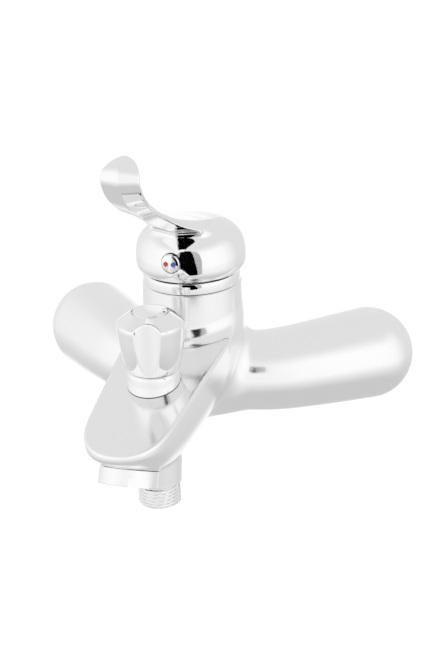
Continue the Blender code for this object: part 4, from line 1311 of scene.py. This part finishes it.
@dataclass
class Studio:
    """Camera, pale floor, soft lights and reflecting cards."""

    seam: Place
    azimuth: float = math.radians(21.1)
    elevation: float = math.radians(21.35)
    roll: float = math.radians(2.47)
    away: float = 1.215
    lens: float = 136.02
    aim: tuple[float, float, float] = (11.2, 0.0, -22.2)
    floor_drop: float = 0.55
    card_turn: float = math.radians(15.0)
    overhead: float = 0.78
    underneath: float = 0.62
    around: Outline = field(default_factory=lambda: [
        (0.0, 0.80), (0.11, 0.80), (0.19, 0.86), (0.28, 0.97), (0.39, 1.02), (0.50, 0.95), (0.56, 0.95),
        (0.62, 1.0), (0.67, 1.04), (0.76, 1.0), (0.81, 0.90), (0.86, 0.78), (1.0, 0.78)])

    def camera_axes(self) -> tuple[Vector, Vector, Vector]:
        """Right, up and backward directions of the camera."""
        back = Vector((math.sin(self.azimuth) * math.cos(self.elevation),
                       -math.cos(self.azimuth) * math.cos(self.elevation), math.sin(self.elevation)))
        level = Vector((math.cos(self.azimuth), math.sin(self.azimuth), 0.0))
        rise = back.cross(level)
        right = math.cos(self.roll) * level - math.sin(self.roll) * rise
        up = math.sin(self.roll) * level + math.cos(self.roll) * rise
        return right, up, back

    def camera(self) -> None:
        """Place the camera at the known viewing angle."""
        right, up, back = self.camera_axes()
        data = bpy.data.cameras.new("camera")
        data.lens = self.lens
        data.sensor_width = 36.0
        data.sensor_fit = "AUTO"
        data.clip_start = 0.05
        camera = bpy.data.objects.new("camera", data)
        matrix = Matrix((right, up, back)).transposed().to_4x4()
        matrix.translation = self.seam.world() @ Vector(self.aim) + back * self.away
        camera.matrix_world = matrix
        bpy.context.scene.collection.objects.link(camera)
        bpy.context.scene.camera = camera

    def world(self) -> None:
        """Bright surroundings that the chrome reflects; the camera itself sees plain white."""
        sky = bpy.data.worlds.new("studio")
        sky.use_nodes = True
        tree = sky.node_tree
        place = add_node(tree, "TexCoord", {}).outputs["Generated"]
        split = add_node(tree, "SeparateXYZ", {0: place})
        ahead = arithmetic(tree, "MULTIPLY", split.outputs["Y"], -1.0)
        turn = arithmetic(tree, "ARCTAN2", split.outputs["X"], ahead)
        around = grey_ramp(tree, arithmetic(tree, "MULTIPLY_ADD", turn, 1.0 / math.tau, 0.5), self.around)
        height = arithmetic(tree, "MULTIPLY_ADD", split.outputs["Z"], 0.5, 0.5)
        upper = grey_ramp(tree, height, [(0.0, 0.0), (self.level(28), 0.0), (self.level(52), 1.0),
                                         (1.0, 1.0)])
        lower = grey_ramp(tree, height, [(0.0, 1.0), (self.level(-46), 1.0), (self.level(-14), 0.0),
                                         (1.0, 0.0)])
        _, _, back = self.camera_axes()
        facing = add_node(tree, "VectorMath", {0: place, 1: -back}, operation="DOT_PRODUCT")
        backdrop = grey_ramp(tree, arithmetic(tree, "MULTIPLY_ADD", facing.outputs["Value"], 0.5, 0.5),
                             [(0.0, 0.0), (0.93, 0.0), (0.975, 1.0), (1.0, 1.0)])
        to_camera = add_node(tree, "LightPath", {}).outputs["Is Camera Ray"]
        shade = around
        for share, grey in ((upper, self.overhead), (lower, self.underneath), (backdrop, 1.0),
                            (to_camera, 1.0)):
            shade = add_node(tree, "Mix", {"Factor": share, "A": shade, "B": (grey, grey, grey, 1.0)},
                             data_type="RGBA").outputs["Result"]
        feed(tree, tree.nodes["Background"], {"Color": shade})
        bpy.context.scene.world = sky

    @staticmethod
    def level(degrees: float) -> float:
        """Place of an elevation on a ramp that runs from straight down to straight up."""
        return 0.5 + 0.5 * math.sin(math.radians(degrees))

    def floor(self) -> None:
        """Plain pale floor, well below the mixer."""
        shape = bmesh.new()
        bmesh.ops.create_grid(shape, x_segments=1, y_segments=1, size=8.0)
        low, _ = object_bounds()
        bmesh.ops.translate(shape, vec=(0, 0, low[2] - self.floor_drop), verts=shape.verts)
        floor = self.stage_piece("floor", shape, 0.93, 0.4)
        floor.visible_glossy = False

    def card(self, name: str, outline: Outline, away: float, grey: float, reach: tuple[float, float]) -> None:
        """Small card close to the handle that the chrome near it reflects and the camera doesn't see.

        Args:
            name: Object name.
            outline: (across, height) of its corners in millimetres from the seam centre.
            away: Distance from the seam in millimetres.
            grey: Its grey.
            reach: Nearest and farthest distance in millimetres from which it is seen.
        """
        across = Vector((math.cos(self.card_turn), math.sin(self.card_turn), 0.0))
        out = Vector((math.sin(self.card_turn), -math.cos(self.card_turn), 0.0))
        shape = bmesh.new()
        corners = [shape.verts.new(self.seam.origin + (out * away + across * x + Vector((0, 0, z))) * MM)
                   for x, z in outline]
        shape.faces.new(corners)
        card = self.stage_piece(name, shape, grey, 0.0)
        card.visible_camera = False
        card.visible_shadow = False
        card.visible_diffuse = False
        tree = card.data.materials[0].node_tree
        length = add_node(tree, "LightPath", {}).outputs["Ray Length"]
        near = arithmetic(tree, "LESS_THAN", length, reach[1] * MM)
        clear = arithmetic(tree, "GREATER_THAN", length, reach[0] * MM)
        feed(tree, tree.nodes["Principled BSDF"], {"Alpha": arithmetic(tree, "MULTIPLY", near, clear)})

    def stage_piece(self, name: str, shape: Shape, grey: float, glow: float) -> Piece:
        """Make a piece of the studio.

        Args:
            name: Object name.
            shape: Its shape in metres.
            grey: Its grey.
            glow: Light that it gives off.

        Returns:
            The object.
        """
        mesh = bpy.data.meshes.new(name)
        shape.to_mesh(mesh)
        shape.free()
        material = bpy.data.materials.new(name)
        material.use_nodes = True
        feed(material.node_tree, material.node_tree.nodes["Principled BSDF"], {
            "Base Color": (grey, grey, grey, 1.0), "Roughness": 1.0, "Specular IOR Level": 0.0,
            "Emission Color": (1.0, 1.0, 1.0, 1.0), "Emission Strength": glow})
        mesh.materials.append(material)
        item = bpy.data.objects.new(name, mesh)
        bpy.context.scene.collection.objects.link(item)
        item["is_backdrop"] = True
        return item

    def build(self) -> None:
        """Set up the whole studio."""
        self.camera()
        self.world()
        self.floor()
        self.card("card_grey", [(-34, -24), (46, -24), (46, 20), (40, 60), (24, 96), (-14, 112), (-38, 60),
                                (-36, 0)],
                  97.0, 0.6, (58.0, 96.0))
        self.card("card_black", [(-20, -24), (30, -24), (28, -10), (22, 20), (17, 60), (8, 90), (-6, 112),
                                 (-26, 92), (-25, 40), (-22, 0)], 95.0, 0.0, (56.0, 94.0))
        view = bpy.context.scene.view_settings
        view.view_transform = "Standard"
        view.look = "None"
        view.exposure = 0.0


# ---------------------------------------------------------------- everything together

def seam_place() -> Place:
    """Seam centre, read from the collar that stands on it."""
    low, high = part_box("cartridge_collar")
    return Place(Vector(((low.x + high.x) / 2, (low.y + high.y) / 2, low.z - SEAM_GAP * MM)))


def dress_frame(frame: dict) -> None:
    """Give the CAD pieces that stay visible their finishes."""
    for finish, names in CARRIED_OVER.items():
        for name in names:
            node = frame["nodes"][name]
            node.data.materials.clear()
            node.data.materials.append(finish.material())


def main() -> None:
    """Build the mixer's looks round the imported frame."""
    logging.basicConfig(level=logging.INFO, format="%(message)s")
    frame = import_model()
    seam = seam_place()
    casting = BodyCasting(seam)
    axis_low, axis_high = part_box("diverter_knob_cap")
    knob_axis = Place(Vector(((axis_low.x + axis_high.x) / 2, (axis_low.y + axis_high.y) / 2, seam.origin.z)))
    rim = casting.aerator_frame()
    aerator_rim = Place(seam.world() @ rim.translation, rim.to_3x3())
    builders = [casting, LeverHandle(seam), HandleTrim(seam), Collar(seam), DiverterKnob(knob_axis, casting),
                Aerator(aerator_rim), ShowerNipple(knob_axis), ReturnSpring(knob_axis)]
    for side, word in ((-1, "left"), (1, "right")):
        face = Vector((side * casting.inlet_x * MM, 0.0, 0.0))
        builders.append(Inlet(Place(face, Matrix.Rotation(-math.pi / 2, 3, "X")), word))
    for builder in builders:
        made = builder.build()
        for piece in made if isinstance(made, list) else [made]:
            LOG.info("%s: %d faces", piece.name, len(piece.data.polygons))
    dress_frame(frame)
    Studio(seam).build()


if __name__ == "__main__":
    main()
